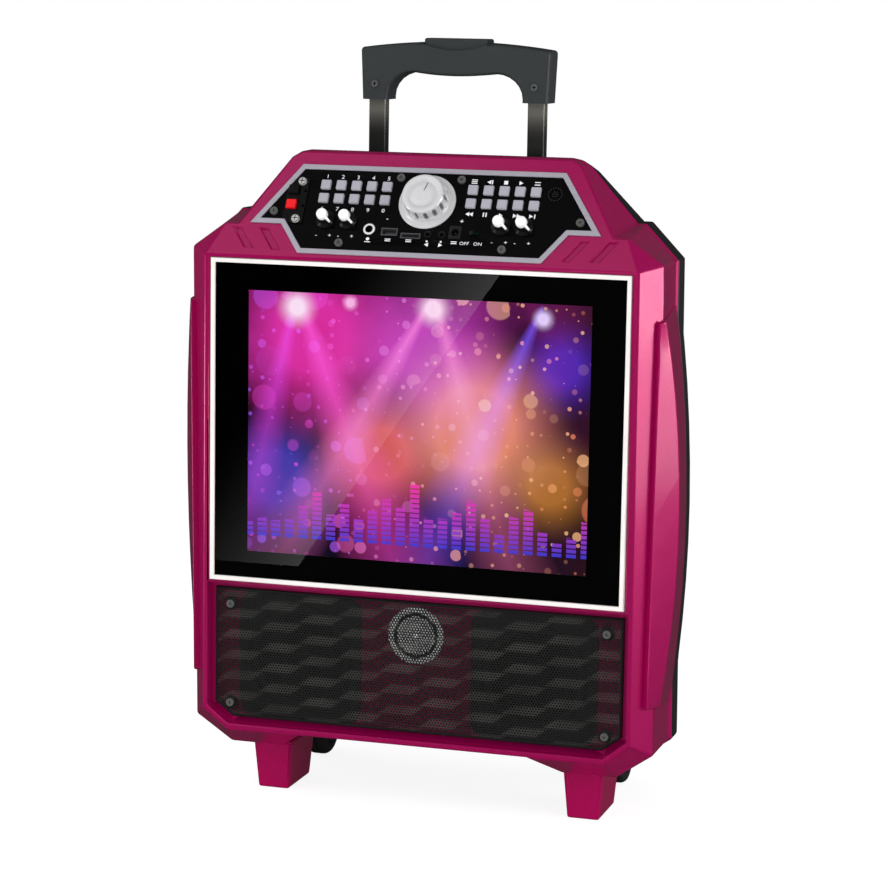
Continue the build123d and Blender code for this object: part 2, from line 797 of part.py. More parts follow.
def rear_shell():
    outer = ring_solid([seam_ring(lip_out, lip_depth), band_ring(lip_out), back_ring(0, 0)])
    inner = ring_solid([seam_ring(lip_out - wall, lip_depth - 1), band_ring(lip_out - wall),
                        back_ring(wall * 1.1, wall)])
    outer -= block(-300, 300, deck_y, 400, 0, deck_z)
    inner -= block(-300, 300, deck_y - wall, 400, 0, deck_z + wall)
    wing = wing_rear(0)
    space = wing_rear(wall)
    form = outer + wing + wing.mirror(Plane.YZ)
    shell = form - inner - space - space.mirror(Plane.YZ)
    extra = []
    for z in boss_z:
        start = seam_at(z) + lip_depth
        for x in (-boss_x, boss_x):
            extra.append(rod_y(x, z, boss_r, start - 9, start + 60))
    # carriers for the handle's outer tubes
    rear_of_tube = tube_y + channel_out_d / 2
    for z in carrier_z:
        for x in (-tube_x, tube_x):
            extra.append(block(x - 11, x + 11, rear_of_tube, 300, z, z + wall))
            extra.append(block(x - 1.5, x + 1.5, rear_of_tube, 300, z - 20, z + wall))
    # posts for the amplifier board
    for z in (amp_z - amp_size[1] / 2 + 5, amp_z + amp_size[1] / 2 - 5):
        for x in (-amp_size[0] / 2 + 5, amp_size[0] / 2 - 5):
            extra.append(rod_y(x, z, 3.5, amp_y + 1.6, 260))
    # fence round the battery
    half_x = battery_size[0] / 2 + 0.5
    far_y = battery_y + battery_size[1] + 0.5
    floor = deck_z + wall - 0.5
    extra.append(block(-half_x - wall, half_x + wall, far_y, far_y + wall, floor, floor + 15))
    for x in (-half_x - wall, half_x):
        extra.append(block(x, x + wall, battery_y, far_y + wall, floor, floor + 15))
    before_seam = outside(*seam_points, 0.0, within=(0, 200, 300))
    for piece in extra:
        shell += (piece & form) - before_seam
    for z in boss_z:
        start = seam_at(z) + lip_depth
        for x in (-boss_x, boss_x):
            shell -= rod_y(x, z, case_screw_r, start - 12, start + 60)
            shell -= rod_y(x, z, case_head_r + 0.4, start + case_screw_seat, start + 100)
    for x in (-tube_x, tube_x):
        shell -= block(x - channel_out_w / 2 - fit_gap, x + channel_out_w / 2 + fit_gap,
                       tube_y - channel_out_d / 2 - fit_gap, tube_y + channel_out_d / 2 + fit_gap,
                       shoulder_z + 20, body_top + 20)
    return solid_of(shell)


def screws_case():
    """Every screw of the case, all of one kind, with a cross recess."""
    cross = Rectangle(3.6, 0.8) + Rectangle(0.8, 3.6)

    def screw(where, length):
        head = extrude(Circle(case_head_r - 0.4), case_head_h)
        head -= Pos(0, 0, case_head_h - 1.2) * extrude(cross, 2)
        return solid_of(where * (head + Pos(0, 0, -length) * Cylinder(
            case_screw_r - 0.05, length, align=(Align.CENTER, Align.CENTER, Align.MIN))))

    screws = [screw(PANEL * Pos(u, v, 0), 8.0) for u, v in panel_screws]
    for sign in (-1, 1):
        place = PANEL * Pos(terminal_u + 3, terminal_v + sign * terminal_screw_v, terminal_flange)
        screws.append(screw(place, 5.0))
    facing = Plane(origin=(0, 0, 0), x_dir=(1, 0, 0), z_dir=(0, -1, 0))
    for z in grille_screw_z:
        for x in (-grille_screw_x, grille_screw_x):
            screws.append(screw(facing * Pos(x, z, -grille_y), 8.0))
    behind = Plane(origin=(0, 0, 0), x_dir=(-1, 0, 0), z_dir=(0, 1, 0))
    for z in boss_z:
        for x in (-boss_x, boss_x):
            seat = seam_at(z) + lip_depth + case_screw_seat
            screws.append(screw(behind * Pos(-x, z, seat), 20.0))
    return Compound(children=screws)


# ---------------------------------------------------------------- screen
def screen_frame():
    frame = block(-bezel_half, bezel_half, -bezel_proud, bezel_back, screen_low, screen_high)
    frame -= block(-glass_width / 2 - fit_gap, glass_width / 2 + fit_gap, -9, glass_thick,
                   screen_z - glass_height / 2 - fit_gap, screen_z + glass_height / 2 + fit_gap)
    frame -= block(-module_width / 2 - 1, module_width / 2 + 1, -9, 20,
                   screen_z - module_height / 2 - 1, screen_z + module_height / 2 + 1)
    for x, z in module_screws():
        frame -= rod_y(x, z, 1.5, bezel_back - 2.5, 20)
    return solid_of(frame)


def module_screws():
    return [(i * module_screw_x, screen_z + j * module_screw_z) for i in (-1, 1) for j in (-1, 1)]


def screen_glass():
    return block(-glass_width / 2, glass_width / 2, 0, glass_thick,
                 screen_z - glass_height / 2, screen_z + glass_height / 2)


def lcd_panel():
    front = glass_thick + fit_gap
    back = front + module_thick
    panel = block(-module_width / 2, module_width / 2, front, back,
                  screen_z - module_height / 2, screen_z + module_height / 2)
    panel -= block(-lcd_width / 2, lcd_width / 2, front - 1, front + 0.6,
                   screen_z - lcd_height / 2, screen_z + lcd_height / 2)
    for x, z in module_screws():
        side = 1 if x > 0 else -1
        near, far = sorted((side * (module_width / 2 - 1), side * (module_screw_x + 5)))
        panel += block(near, far, bezel_back, bezel_back + 1.5, z - 8, z + 8)
        panel -= rod_y(x, z, 1.5, 0, 20)
        panel += rod_y(x, z, 2.8, bezel_back + 1.5, bezel_back + 3.0)
        panel += rod_y(x, z, 1.5, bezel_back - 2.0, bezel_back + 2.0)
    panel += block(-80, 80, back, back + 1.6, screen_z - 45, screen_z + 45)
    panel += block(-60, -20, back + 1.6, back + 7, screen_z - 20, screen_z + 20)
    panel += block(10, 66, back + 1.6, back + 9, screen_z + 22, screen_z + 38)
    return solid_of(panel)


# ---------------------------------------------------------------- speakers
def speaker_grille():
    outline = opening_outline(grille_inset)
    grille = prism(outline, grille_y, baffle_y)
    grille -= prism(inset(outline, grille_thick), grille_y + grille_thick, baffle_y + 1)
    for z in grille_screw_z:
        for x in (-grille_screw_x, grille_screw_x):
            grille += rod_y(x, z, 5, grille_y, baffle_y)
            grille -= rod_y(x, z, case_screw_r, grille_y - 1, baffle_y + 1)
    return solid_of(grille)


def turned(profile, x, z):
    """Turn an outline of (radius, depth) points about an axis along Y through (x, z)."""
    place = Plane(origin=(x, 0, z), x_dir=(1, 0, 0), z_dir=(0, -1, 0))
    flat = Plane(origin=(0, 0, 0), x_dir=(1, 0, 0), z_dir=(0, 0, 1))
    outline = make_face(flat * Polyline(*[(r, y) for r, y in profile], close=True))
    return Pos(x, 0, z) * revolve(outline, Axis.Y)


def woofer(x):
    front = baffle_y - flange_thick
    magnet = baffle_y + woofer_depth
    frame = Pos(x, baffle_y - flange_thick / 2, woofer_z) * Rot(90, 0, 0) * extrude(
        RectangleRounded(woofer_frame, woofer_frame, 14), flange_thick / 2, both=True)
    frame -= rod_y(x, woofer_z, woofer_cone_r + 1.5, front - 1, baffle_y + 1)
    body = turned([(0, baffle_y + 10), (11, baffle_y + 7), (14, baffle_y + 18),
                   (woofer_cone_r - 4, baffle_y + 1.0), (woofer_cone_r - 1, front + 0.8),
                   (woofer_cone_r + 1.5, front + 1), (woofer_cone_r + 2.5, baffle_y),
                   (woofer_cone_r + 2.5, baffle_back + 1), (woofer_magnet_r - 6, magnet - 24),
                   (woofer_magnet_r, magnet - 24), (woofer_magnet_r, magnet), (0, magnet)],
                  x, woofer_z)
    return solid_of(frame + body)


def tweeter():
    front = baffle_y - flange_thick
    body = turned([(0, front - 0.4), (2.2, front - 0.1), (4.5, front + 1.6), (11.5, front + 2.0),
                   (tweeter_r - 4, front + 0.8), (tweeter_r - 3, front), (tweeter_r, front + 0.4),
                   (tweeter_r, baffle_y), (tweeter_r - 5.5, baffle_y),
                   (tweeter_r - 5.5, baffle_back + 2), (18, baffle_back + 2),
                   (18, baffle_back + 16), (0, baffle_back + 16)], 0, tweeter_z)
    return solid_of(body)


# ---------------------------------------------------------------- control panel
def panel_plate():
    plate = panel_prism(trim_outline(plate_inset), -plate_thick, 0)
    for u, v in keys:
        plate -= panel_box(u, v, key_hole, key_hole, -plate_thick - 1, 1, 0.6)
    for u, v in knobs + [(0, volume_v)]:
        plate -= panel_disc(u, v, shaft_r + 0.6, -plate_thick - 1, 1)
    for u, v in panel_screws:
        plate -= panel_disc(u, v, case_screw_r, -plate_thick - 1, 1)
    for sign in (-1, 1):
        v = terminal_v + sign * terminal_screw_v
        plate -= panel_disc(terminal_u + 3, v, case_screw_r, -plate_thick - 1, 1)
    plate -= panel_box(terminal_u, lever_v, terminal_body[0] + 0.4, terminal_body[1] + 0.4,
                       -plate_thick - 1, 1)
    plate -= panel_disc(*mic_jack_uv, mic_barrel_r + fit_gap, -plate_thick - 1, 1)
    plate -= panel_box(*usb_uv, usb_size[0] + 0.4, usb_size[1] + 0.4, -plate_thick - 1, 1)
    plate -= panel_box(*card_uv, card_size[0] + 0.4, card_size[1] + 0.4, -plate_thick - 1, 1)
    for u, v in line_jack_uv:
        plate -= panel_disc(u, v, line_barrel_r + fit_gap, -plate_thick - 1, 1)
    plate -= panel_box(*dc_uv, dc_size[0] + 0.4, dc_size[1] + 0.4, -plate_thick - 1, 1)
    plate -= panel_box(*switch_uv, switch_slot[0], switch_slot[1], -plate_thick - 1, 1)
    for i in range(8):
        turn = math.radians(45 * i)
        u = vent_uv[0] + vent_ring_r * math.cos(turn)
        v = vent_uv[1] + vent_ring_r * math.sin(turn)
        plate -= panel_disc(u, v, vent_hole_r, -plate_thick - 1, 1)
    for u, v in panel_posts:
        plate += panel_disc(u, v, 3.0, board_top, plate_under)
    return solid_of(plate)


def panel_trim():
    trim = panel_prism(trim_outline(0), 0, trim_height)
    trim -= panel_prism(trim_outline(trim_width), -1, trim_height + 1)
    return solid_of(trim)


def control_board():
    board = panel_prism(trim_outline(plate_inset + ledge + 1), board_n, board_top)
    board -= panel_box(-11, 15, 98, 44, board_n - 1, 1)
    for u, v in keys:
        board += panel_box(u, v, 6, 6, board_top, tact_top - 0.8)
        board += panel_disc(u, v, 1.7, tact_top - 0.8, tact_top)
    for u, v in knobs:
        board += panel_box(u, v, 11, 12, board_top, pot_top)
        board -= panel_disc(u, v, shaft_r + shaft_gap, shaft_low - 0.5, 1)
    board += panel_box(0, volume_v, 18, 18, board_top, pot_top)
    board -= panel_disc(0, volume_v, shaft_r + shaft_gap, shaft_low - 0.5, 1)
    top = plate_under - fit_gap
    board += panel_box(*switch_uv, 13, 8, board_top, top)
    board -= panel_box(*switch_uv, switch_slot[0], switch_slot[1], top - 5, 1)
    return solid_of(board)


def volume_knob():
    rounds = [(0, knob_lift), (volume_skirt_r, knob_lift), (volume_skirt_r, knob_lift + 1.6),
              (volume_skirt_r - 1.5, knob_lift + 2.4), (volume_cap_r + 1.2, knob_lift + 4.5),
              (volume_cap_r, knob_lift + 7.0), (volume_cap_r - 0.5, volume_height - 0.8),
              (volume_cap_r - 1.3, volume_height), (volume_cap_r - 3.5, volume_height - 0.5),
              (0, volume_height - 0.5)]
    knob = revolve(make_face(Plane.XZ * Polyline(*rounds, close=True)), Axis.Z)
    for i in range(flute_count):
        turn = 360 / flute_count * i
        flute = Cylinder(flute_r, volume_height, align=(Align.CENTER, Align.CENTER, Align.MIN))
        knob -= Rot(0, 0, turn) * Pos(volume_cap_r + 1.2, 0, knob_lift + flute_low) * flute
    knob += Pos(0, 0, shaft_low) * Cylinder(
        shaft_r, knob_lift + 1 - shaft_low, align=(Align.CENTER, Align.CENTER, Align.MIN))
    return solid_of(PANEL * Pos(0, volume_v, 0) * knob)


def small_knob(u, v):
    rounds = [(0, knob_lift), (knob_skirt_r, knob_lift), (knob_skirt_r, knob_lift + 1.4),
              (knob_skirt_r - 1.2, knob_lift + 2.6), (knob_stem_r + 0.5, knob_lift + 4.0),
              (knob_stem_r, knob_height - 0.6), (knob_stem_r - 0.6, knob_height), (0, knob_height)]
    knob = revolve(make_face(Plane.XZ * Polyline(*rounds, close=True)), Axis.Z)
    rib = Polyline((1.0, knob_lift + 1), (knob_skirt_r - 0.4, knob_lift + 1),
                   (knob_skirt_r - 0.4, knob_lift + 3.2), (knob_stem_r - 0.6, knob_height - 0.3),
                   (1.0, knob_height - 0.3), close=True)
    pointer = extrude(make_face(Plane.XZ * rib), 1.1, both=True)
    knob += Rot(0, 0, knob_point) * pointer
    knob += Pos(0, 0, shaft_low) * Cylinder(
        shaft_r, knob_lift + 1 - shaft_low, align=(Align.CENTER, Align.CENTER, Align.MIN))
    return solid_of(PANEL * Pos(u, v, 0) * knob)


def key(u, v):
    cap = extrude(RectangleRounded(key_size, key_size, 0.8), key_proud - flange_top)
    cap = Pos(0, 0, flange_top) * chamfer(cap.faces().sort_by(Axis.Z)[-1].edges(), 0.4)
    cap += Pos(0, 0, flange_low) * extrude(Rectangle(flange_size, flange_size), key_flange)
    cap += Pos(0, 0, stem_low) * Cylinder(
        key_stem_r, flange_low - stem_low + 0.5, align=(Align.CENTER, Align.CENTER, Align.MIN))
    return solid_of(PANEL * Pos(u, v, 0) * cap)


# ---------------------------------------------------------------- sockets
def mic_jack():
    depth = -mic_bore_length
    jack = panel_disc(*mic_jack_uv, mic_barrel_r, plate_under - 1, socket_proud)
    jack += panel_box(*mic_jack_uv, 16, 15, depth - 2, plate_under)
    jack -= panel_disc(*mic_jack_uv, mic_bore_r, socket_proud - mic_bore_length, socket_proud + 1)
    return solid_of(jack)


def media_module():
    under = plate_under - fit_gap
    board_low, proud = -20.0, 0.6
    usb_floor, card_floor = -15.0, -17.0
    tongue = (11.0, 1.8)
    usb = panel_box(*usb_uv, *usb_size, board_low, proud)
    usb -= panel_box(*usb_uv, *usb_mouth, usb_floor, 2)
    usb += panel_box(usb_uv[0], usb_uv[1] + 0.9, *tongue, usb_floor - 0.5, -5.0)
    card = panel_box(*card_uv, *card_size, board_low, proud)
    card -= panel_box(*card_uv, *card_mouth, card_floor, 2)
    board = panel_box(-18.0, 22.5, 41, 16, board_low - board_thick, board_low)
    post = panel_box(-18.9, 22.5, 3.0, 3.0, board_low - 0.5, plate_under)
    board += post
    return solid_of(board + usb + card)


def line_jacks():
    middle = (line_jack_uv[0][0] + line_jack_uv[1][0]) / 2
    body = panel_box(middle, line_jack_uv[0][1], 22, 11, -18.0, plate_under)
    for u, v in line_jack_uv:
        body += panel_disc(u, v, line_barrel_r, plate_under - 1, socket_proud)
    for u, v in line_jack_uv:
        body -= panel_disc(u, v, line_bore_r, socket_proud - line_bore_length, socket_proud + 1)
    return solid_of(body)


def dc_jack():
    low, floor, pin_r, pin_top = -14.0, -9.5, 1.0, -1.5
    body = panel_box(*dc_uv, *dc_size, low, 1.0, 0.8)
    body += panel_box(*dc_uv, 13.0, 14.0, low, plate_under)
    body -= panel_disc(*dc_uv, dc_bore_r, floor, 2)
    body += panel_disc(*dc_uv, pin_r, floor - 0.5, pin_top)
    return solid_of(body)


def switch_slider():
    low = plate_under - fit_gap - 4.7
    knob = panel_box(switch_uv[0] - switch_travel / 2, switch_uv[1], *switch_knob, low, 1.6)
    return solid_of(knob)


def terminal_block():
    low, high = terminal_v - terminal_half_v, terminal_v + terminal_half_v
    left, right = terminal_u - 9.7, terminal_u + 9.0
    flange = [(left + 6.4, low), (right, low), (right, high), (left + 7.7, high),
              (left, high - 10.1), (left, low + 6.0)]
    body = panel_prism(flange, 0, terminal_flange)
    body += panel_box(terminal_u, lever_v, terminal_body[0], terminal_body[1], terminal_low, 0)
    for sign in (-1, 1):
        v = terminal_v + sign * terminal_screw_v
        body -= panel_disc(terminal_u + 3, v, case_screw_r, -5, 5)
    for v in lever_vs.values():
        body -= panel_box(lever_mid, v, lever_pocket[0], lever_pocket[1], lever_floor, 5)
        body += panel_rod_v(lever_pin_u, lever_pin_n, lever_pin_r, v - 4.6, v + 4.6)
        body -= panel_disc(terminal_u + 7.0, v - 0.8, 1.3, -9, 5)
    return solid_of(body)


def panel_rod_v(u, n, radius, v0, v1):
    """A rod that lies along the slope."""
    rod = Pos(u, (v0 + v1) / 2, n) * Rot(90, 0, 0) * Cylinder(radius, v1 - v0)
    return PANEL * rod


def lever(v):
    tall = panel_box(lever_start + lever_long / 2, v, lever_long, lever_size, lever_pin_n, lever_top)
    tall += panel_rod_v(lever_pin_u, lever_pin_n, lever_hub_r, v - lever_size / 2, v + lever_size / 2)
    tall -= panel_rod_v(lever_pin_u, lever_pin_n, lever_pin_r + shaft_gap, v - 6, v + 6)
    return solid_of(tall)


# ---------------------------------------------------------------- inside
def amp_board():
    half_x, half_z = amp_size[0] / 2, amp_size[1] / 2
    board = block(-half_x, half_x, amp_y, amp_y + board_thick, amp_z - half_z, amp_z + half_z)
    transformer = block(-45, -5, amp_y - 24, amp_y, amp_z - 10, amp_z + 34)
    board += transformer
    fin_first, fin_pitch, fin_thick, fin_out, fin_half = 4, 9, 2, 22, 30
    for i in range(5):
        x = fin_first + fin_pitch * i
        board += block(x, x + fin_thick, amp_y - fin_out, amp_y, amp_z - fin_half, amp_z + fin_half)
    sink_foot = block(2, 44, amp_y - 5, amp_y, amp_z - 32, amp_z + 32)
    board += sink_foot
    capacitor_r, capacitor_tall = 5, 16
    for x in (-50, -38, -24):
        board += rod_y(x, amp_z - 28, capacitor_r, amp_y - capacitor_tall, amp_y)
    return solid_of(board)


def battery():
    floor = deck_z + wall
    x, y, z = battery_size
    cell = block(-x / 2, x / 2, battery_y, battery_y + y, floor, floor + z)
    for side in (-1, 1):
        cell += block(side * 55 - 3, side * 55 + 3, battery_y + 8, battery_y + 9, floor + z, floor + z + 6)
    return solid_of(cell)


# ---------------------------------------------------------------- feet and wheels
def foot(side):
    under_pod = pod_z
    under_lip = pod_z - lip_out
    x0, x1 = foot_x
    y0, y1 = foot_y
    low = [(x0 + foot_taper, y0 + foot_taper, 0), (x1 - foot_taper, y0 + foot_taper, 0),
           (x1 - foot_taper, y1 - foot_taper, 0), (x0 + foot_taper, y1 - foot_taper, 0)]
    high = [(x0, y0, under_lip), (x1, y0, under_lip), (x1, y1, under_lip), (x0, y1, under_lip)]
    body = ring_solid([low, high])
    body += block(x0, x1, y0, seam_at(pod_z) - 0.3, under_lip - 1, under_pod)
    left, right = x0 + foot_wall, x1 - foot_wall
    middle = (y0 + y1) / 2
    body -= block(left, right, y0 + foot_wall, y1 - foot_wall, foot_sole, under_lip + 5)
    body += block(left, right, middle - foot_rib_half, middle + foot_rib_half, foot_sole - 2, under_lip)
    if side < 0:
        body = body.mirror(Plane.YZ)
    return solid_of(body)


def wheel(side):
    x = side * wheel_x
    half = wheel_width / 2
    r = wheel_r
    profile = [(axle_r + shaft_gap, -half), (9, -half), (9, -half + 2), (r - 9, -half + 2),
               (r - 9, -half), (r - 3.5, -half), (r - 0.8, -half + 2.2), (r, -half + 5.5),
               (r, half - 5.5), (r - 0.8, half - 2.2), (r - 3.5, half), (r - 9, half),
               (r - 9, half - 2), (9, half - 2), (9, half), (axle_r + shaft_gap, half)]
    flat = make_face(Polyline(*[(a, b) for b, a in profile], close=True))
    return solid_of(Pos(x, wheel_y, wheel_r) * revolve(flat, Axis.X))


def wheel_axle():
    reach = wheel_width / 2 + fork_gap + fork_thick
    rods = []
    for side in (-1, 1):
        x = side * wheel_x
        rod = rod_x(wheel_y, wheel_r, axle_r, x - reach, x + reach)
        for end in (-1, 1):
            near, far = sorted((x + end * reach, x + end * (reach + 2)))
            rod += rod_x(wheel_y, wheel_r, axle_r + 2, near, far)
        rods.append(solid_of(rod))
    return Compound(children=rods)


def wheel_bracket():
    inner = wheel_width / 2 + fork_gap
    outer = inner + fork_thick
    forks = []
    for side in (-1, 1):
        x = side * wheel_x
        fork = block(x - outer - bracket_side, x + outer + bracket_side, wheel_y - bracket_half_y,
                     wheel_y + bracket_half_y, deck_z - bracket_thick, deck_z)
        for end in (-1, 1):
            near, far = sorted((x + end * inner, x + end * outer))
            fork += block(near, far, wheel_y - fork_half_top, wheel_y + fork_half_top,
                          wheel_r + fork_step, deck_z - 1)
            fork += block(near, far, wheel_y - fork_half_low, wheel_y + fork_half_low,
                          wheel_r, wheel_r + fork_step + 1)
            fork += rod_x(wheel_y, wheel_r, fork_half_low, near, far)
        fork -= rod_x(wheel_y, wheel_r, axle_r, x - 40, x + 40)
        forks.append(solid_of(fork))
    return Compound(children=forks)


# ---------------------------------------------------------------- handle
def handle_channel():
    tubes = None
    for x in (-tube_x, tube_x):
        tube = block(x - channel_out_w / 2, x + channel_out_w / 2, tube_y - channel_out_d / 2,
                     tube_y + channel_out_d / 2, channel_low - handle_drop, channel_top)
        tubes = tube if tubes is None else tubes + tube
    front = tube_y - channel_out_d / 2
    tie_x = tube_x + channel_tie_out
    for z in channel_tie_z:
        tubes += block(-tie_x, tie_x, front - channel_tie_thick, front, z, z + channel_tie_high)
    for x in (-tube_x, tube_x):
        tubes -= block(x - channel_in_w / 2, x + channel_in_w / 2, tube_y - channel_in_d / 2,
                       tube_y + channel_in_d / 2, channel_low - handle_drop + 2, channel_top + 5)
    return solid_of(tubes)


def inner_tube(side):
    x = side * tube_x
    half_w, half_d = tube_width / 2, tube_depth / 2
    tube = block(x - half_w, x + half_w, tube_y - half_d, tube_y + half_d, inner_tube_low, tube_top)
    w, d = half_w - tube_wall, half_d - tube_wall
    tube -= block(x - w, x + w, tube_y - d, tube_y + d, inner_tube_low - 1, tube_top + 1)
    return solid_of(tube)


def grip_outline():
    """Outline of the grip seen from the front, with its legs left long, anticlockwise."""
    inner = grip_half - grip_leg
    wide = grip_half + grip_flare
    foot_z = grip_low - 2 * grip_edge
    half = []
    steps = 6
    for i in range(steps):
        half.append((grip_arch_half * i / steps, grip_arch_z - grip_sag * (1 - (i / steps) ** 2)))
    arch_low = grip_low + grip_arch_start
    for i in range(steps + 1):
        turn = math.pi / 2 * i / steps
        x = grip_arch_half + (inner - grip_arch_half) * math.sin(turn)
        half.append((x, arch_low + (grip_arch_z - arch_low) * math.cos(turn)))
    half += [(inner, foot_z), (grip_half, foot_z), (grip_half, grip_low)]
    top_x = wide - grip_corner
    top_z = grip_high - grip_corner
    for i in range(4):
        turn = math.pi / 2 * i / 4
        half.append((top_x + grip_corner * math.cos(turn), top_z + grip_corner * math.sin(turn)))
    crown = 8
    for i in range(crown + 1):
        share = 1 - i / crown
        half.append((top_x * share, grip_high + grip_crown * (1 - share ** 2)))
    return half + [(-x, z) for x, z in reversed(half[1:-1])]


def grip():
    y0, y1 = grip_y - grip_depth / 2, grip_y + grip_depth / 2
    outline = grip_outline()
    small = inset(outline, grip_edge)
    levels = [(small, y0), (outline, y0 + grip_edge), (outline, y1 - grip_edge), (small, y1)]
    body = ring_solid([[(x, y, z) for x, z in ring] for ring, y in levels])
    body -= block(-grip_half * 2, grip_half * 2, y0 - 1, y1 + 1, grip_low - 20, grip_low)
    for x in (-tube_x, tube_x):
        body -= block(x - tube_width / 2, x + tube_width / 2, tube_y - tube_depth / 2,
                      tube_y + tube_depth / 2, grip_low - 1, tube_top)
        body -= rod_y(x, grip_screw_z, grip_screw_r, y0 - 1, tube_y)
    slot = release_half + fit_gap
    floor = release_low - release_travel - 2 * fit_gap
    body -= block(-slot, slot, y0 + grip_wall, y1 - grip_wall, floor, release_top + 5)
    bowl = []
    count = 12
    for i in range(count + 1):
        share = -1 + 2 * i / count
        bowl.append((slot * share, notch_low + (notch_edge - notch_low) * share ** 2))
    bowl += [(slot, release_top + 5), (-slot, release_top + 5)]
    body -= prism(bowl, y0 - 1, y1 + 1)
    return solid_of(body)


def release_button():
    """The button slides down between the grip's front and rear walls."""
    reach = grip_depth / 2 - grip_wall - fit_gap
    body = block(-release_half, release_half, grip_y - reach, grip_y + reach, release_low, release_top)
    rim = body.edges().filter_by(lambda e: e.center().Z > release_top - 0.1)
    return solid_of(chamfer(rim, 1.0))


def grip_screws():
    front = grip_y - grip_depth / 2
    facing = Plane(origin=(0, front, 0), x_dir=(1, 0, 0), z_dir=(0, -1, 0))
    cross = Rectangle(3.0, 0.7) + Rectangle(0.7, 3.0)
    screws = []
    for x in (-tube_x, tube_x):
        head = extrude(Circle(3.0), 1.6) - Pos(0, 0, 0.8) * extrude(cross, 2)
        reach = tube_y - tube_depth / 2 - front
        head += Pos(0, 0, -reach) * Cylinder(
            grip_screw_r, reach, align=(Align.CENTER, Align.CENTER, Align.MIN))
        screws.append(solid_of(facing * Pos(x, grip_screw_z, 0) * head))
    return Compound(children=screws)


# ---------------------------------------------------------------- write the pieces
pieces = {
    "front_shell": front_shell(),
    "rear_shell": rear_shell(),
    "screen_frame": screen_frame(),
    "screen_glass": screen_glass(),
    "lcd_panel": lcd_panel(),
    "panel_plate": panel_plate(),
    "panel_trim": panel_trim(),
    "control_board": control_board(),
    "amp_board": amp_board(),
    "battery": battery(),
    "speaker_grille": speaker_grille(),
    "woofer_left": woofer(-woofer_x),
    "woofer_right": woofer(woofer_x),
    "tweeter": tweeter(),
    "foot_left": foot(-1),
    "foot_right": foot(1),
    "wheel_left": wheel(-1),
    "wheel_right": wheel(1),
    "wheel_axle": wheel_axle(),
    "wheel_bracket": wheel_bracket(),
    "handle_channel": handle_channel(),
    "inner_tube_left": inner_tube(-1),
    "inner_tube_right": inner_tube(1),
    "grip": grip(),
    "grip_screws": grip_screws(),
    "release_button": release_button(),
    "mic_jack": mic_jack(),
    "media_module": media_module(),
    "line_jacks": line_jacks(),
    "dc_jack": dc_jack(),
    "switch_slider": switch_slider(),
    "terminal_block": terminal_block(),
    "lever_black": lever(lever_vs["lever_black"]),
    "lever_red": lever(lever_vs["lever_red"]),
    "volume_knob": volume_knob(),
    "case_screws": screws_case(),
}
for number, (u, v) in enumerate(sorted(knobs), start=1):
    pieces[f"small_knob_{number}"] = small_knob(u, v)
for number, (u, v) in enumerate(keys, start=1):
    pieces[f"button_{number:02d}"] = key(u, v)

for name, piece in pieces.items():
    export_step(piece.moved(ORIGIN), f"parts/{name}.step")
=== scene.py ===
"""Looks of a trolley karaoke machine, laid out as an add-on.

Lengths in the property groups and in the shaders are metres.  Inside the shape functions they are
millimetres in the maker's working frame: X to the right, Y to the back with zero on the screen
glass, Z up from the ground.  `row` turns them into the row frame in metres.
"""
import json
import math

import bmesh
import bpy
import numpy as np
from mathutils import Matrix, Vector

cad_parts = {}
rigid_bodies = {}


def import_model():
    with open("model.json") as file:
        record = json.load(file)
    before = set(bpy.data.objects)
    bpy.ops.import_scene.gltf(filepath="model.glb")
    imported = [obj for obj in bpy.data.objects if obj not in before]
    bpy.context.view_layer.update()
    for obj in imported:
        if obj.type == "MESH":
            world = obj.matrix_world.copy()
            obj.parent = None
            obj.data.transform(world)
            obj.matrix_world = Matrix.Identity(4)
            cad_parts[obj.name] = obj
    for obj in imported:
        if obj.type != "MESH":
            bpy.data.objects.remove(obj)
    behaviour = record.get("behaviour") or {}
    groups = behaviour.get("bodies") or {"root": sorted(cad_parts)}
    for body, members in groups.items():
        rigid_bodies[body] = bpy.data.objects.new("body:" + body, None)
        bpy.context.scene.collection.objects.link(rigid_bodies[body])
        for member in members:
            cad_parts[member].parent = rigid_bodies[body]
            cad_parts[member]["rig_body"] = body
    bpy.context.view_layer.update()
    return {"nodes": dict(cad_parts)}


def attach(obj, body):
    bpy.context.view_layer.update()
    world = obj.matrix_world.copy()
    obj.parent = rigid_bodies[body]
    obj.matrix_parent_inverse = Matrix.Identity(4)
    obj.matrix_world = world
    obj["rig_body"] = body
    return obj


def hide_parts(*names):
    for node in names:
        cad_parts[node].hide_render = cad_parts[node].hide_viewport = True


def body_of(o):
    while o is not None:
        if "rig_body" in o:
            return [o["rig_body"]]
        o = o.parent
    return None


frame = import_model()

bl_info = {
    "name": "Trolley karaoke machine",
    "version": (1, 0, 0),
    "blender": (4, 5, 0),
    "location": "3D View > Sidebar > Karaoke",
    "description": "Builds the visible surfaces and finishes of a trolley karaoke machine",
    "category": "Add Mesh",
}

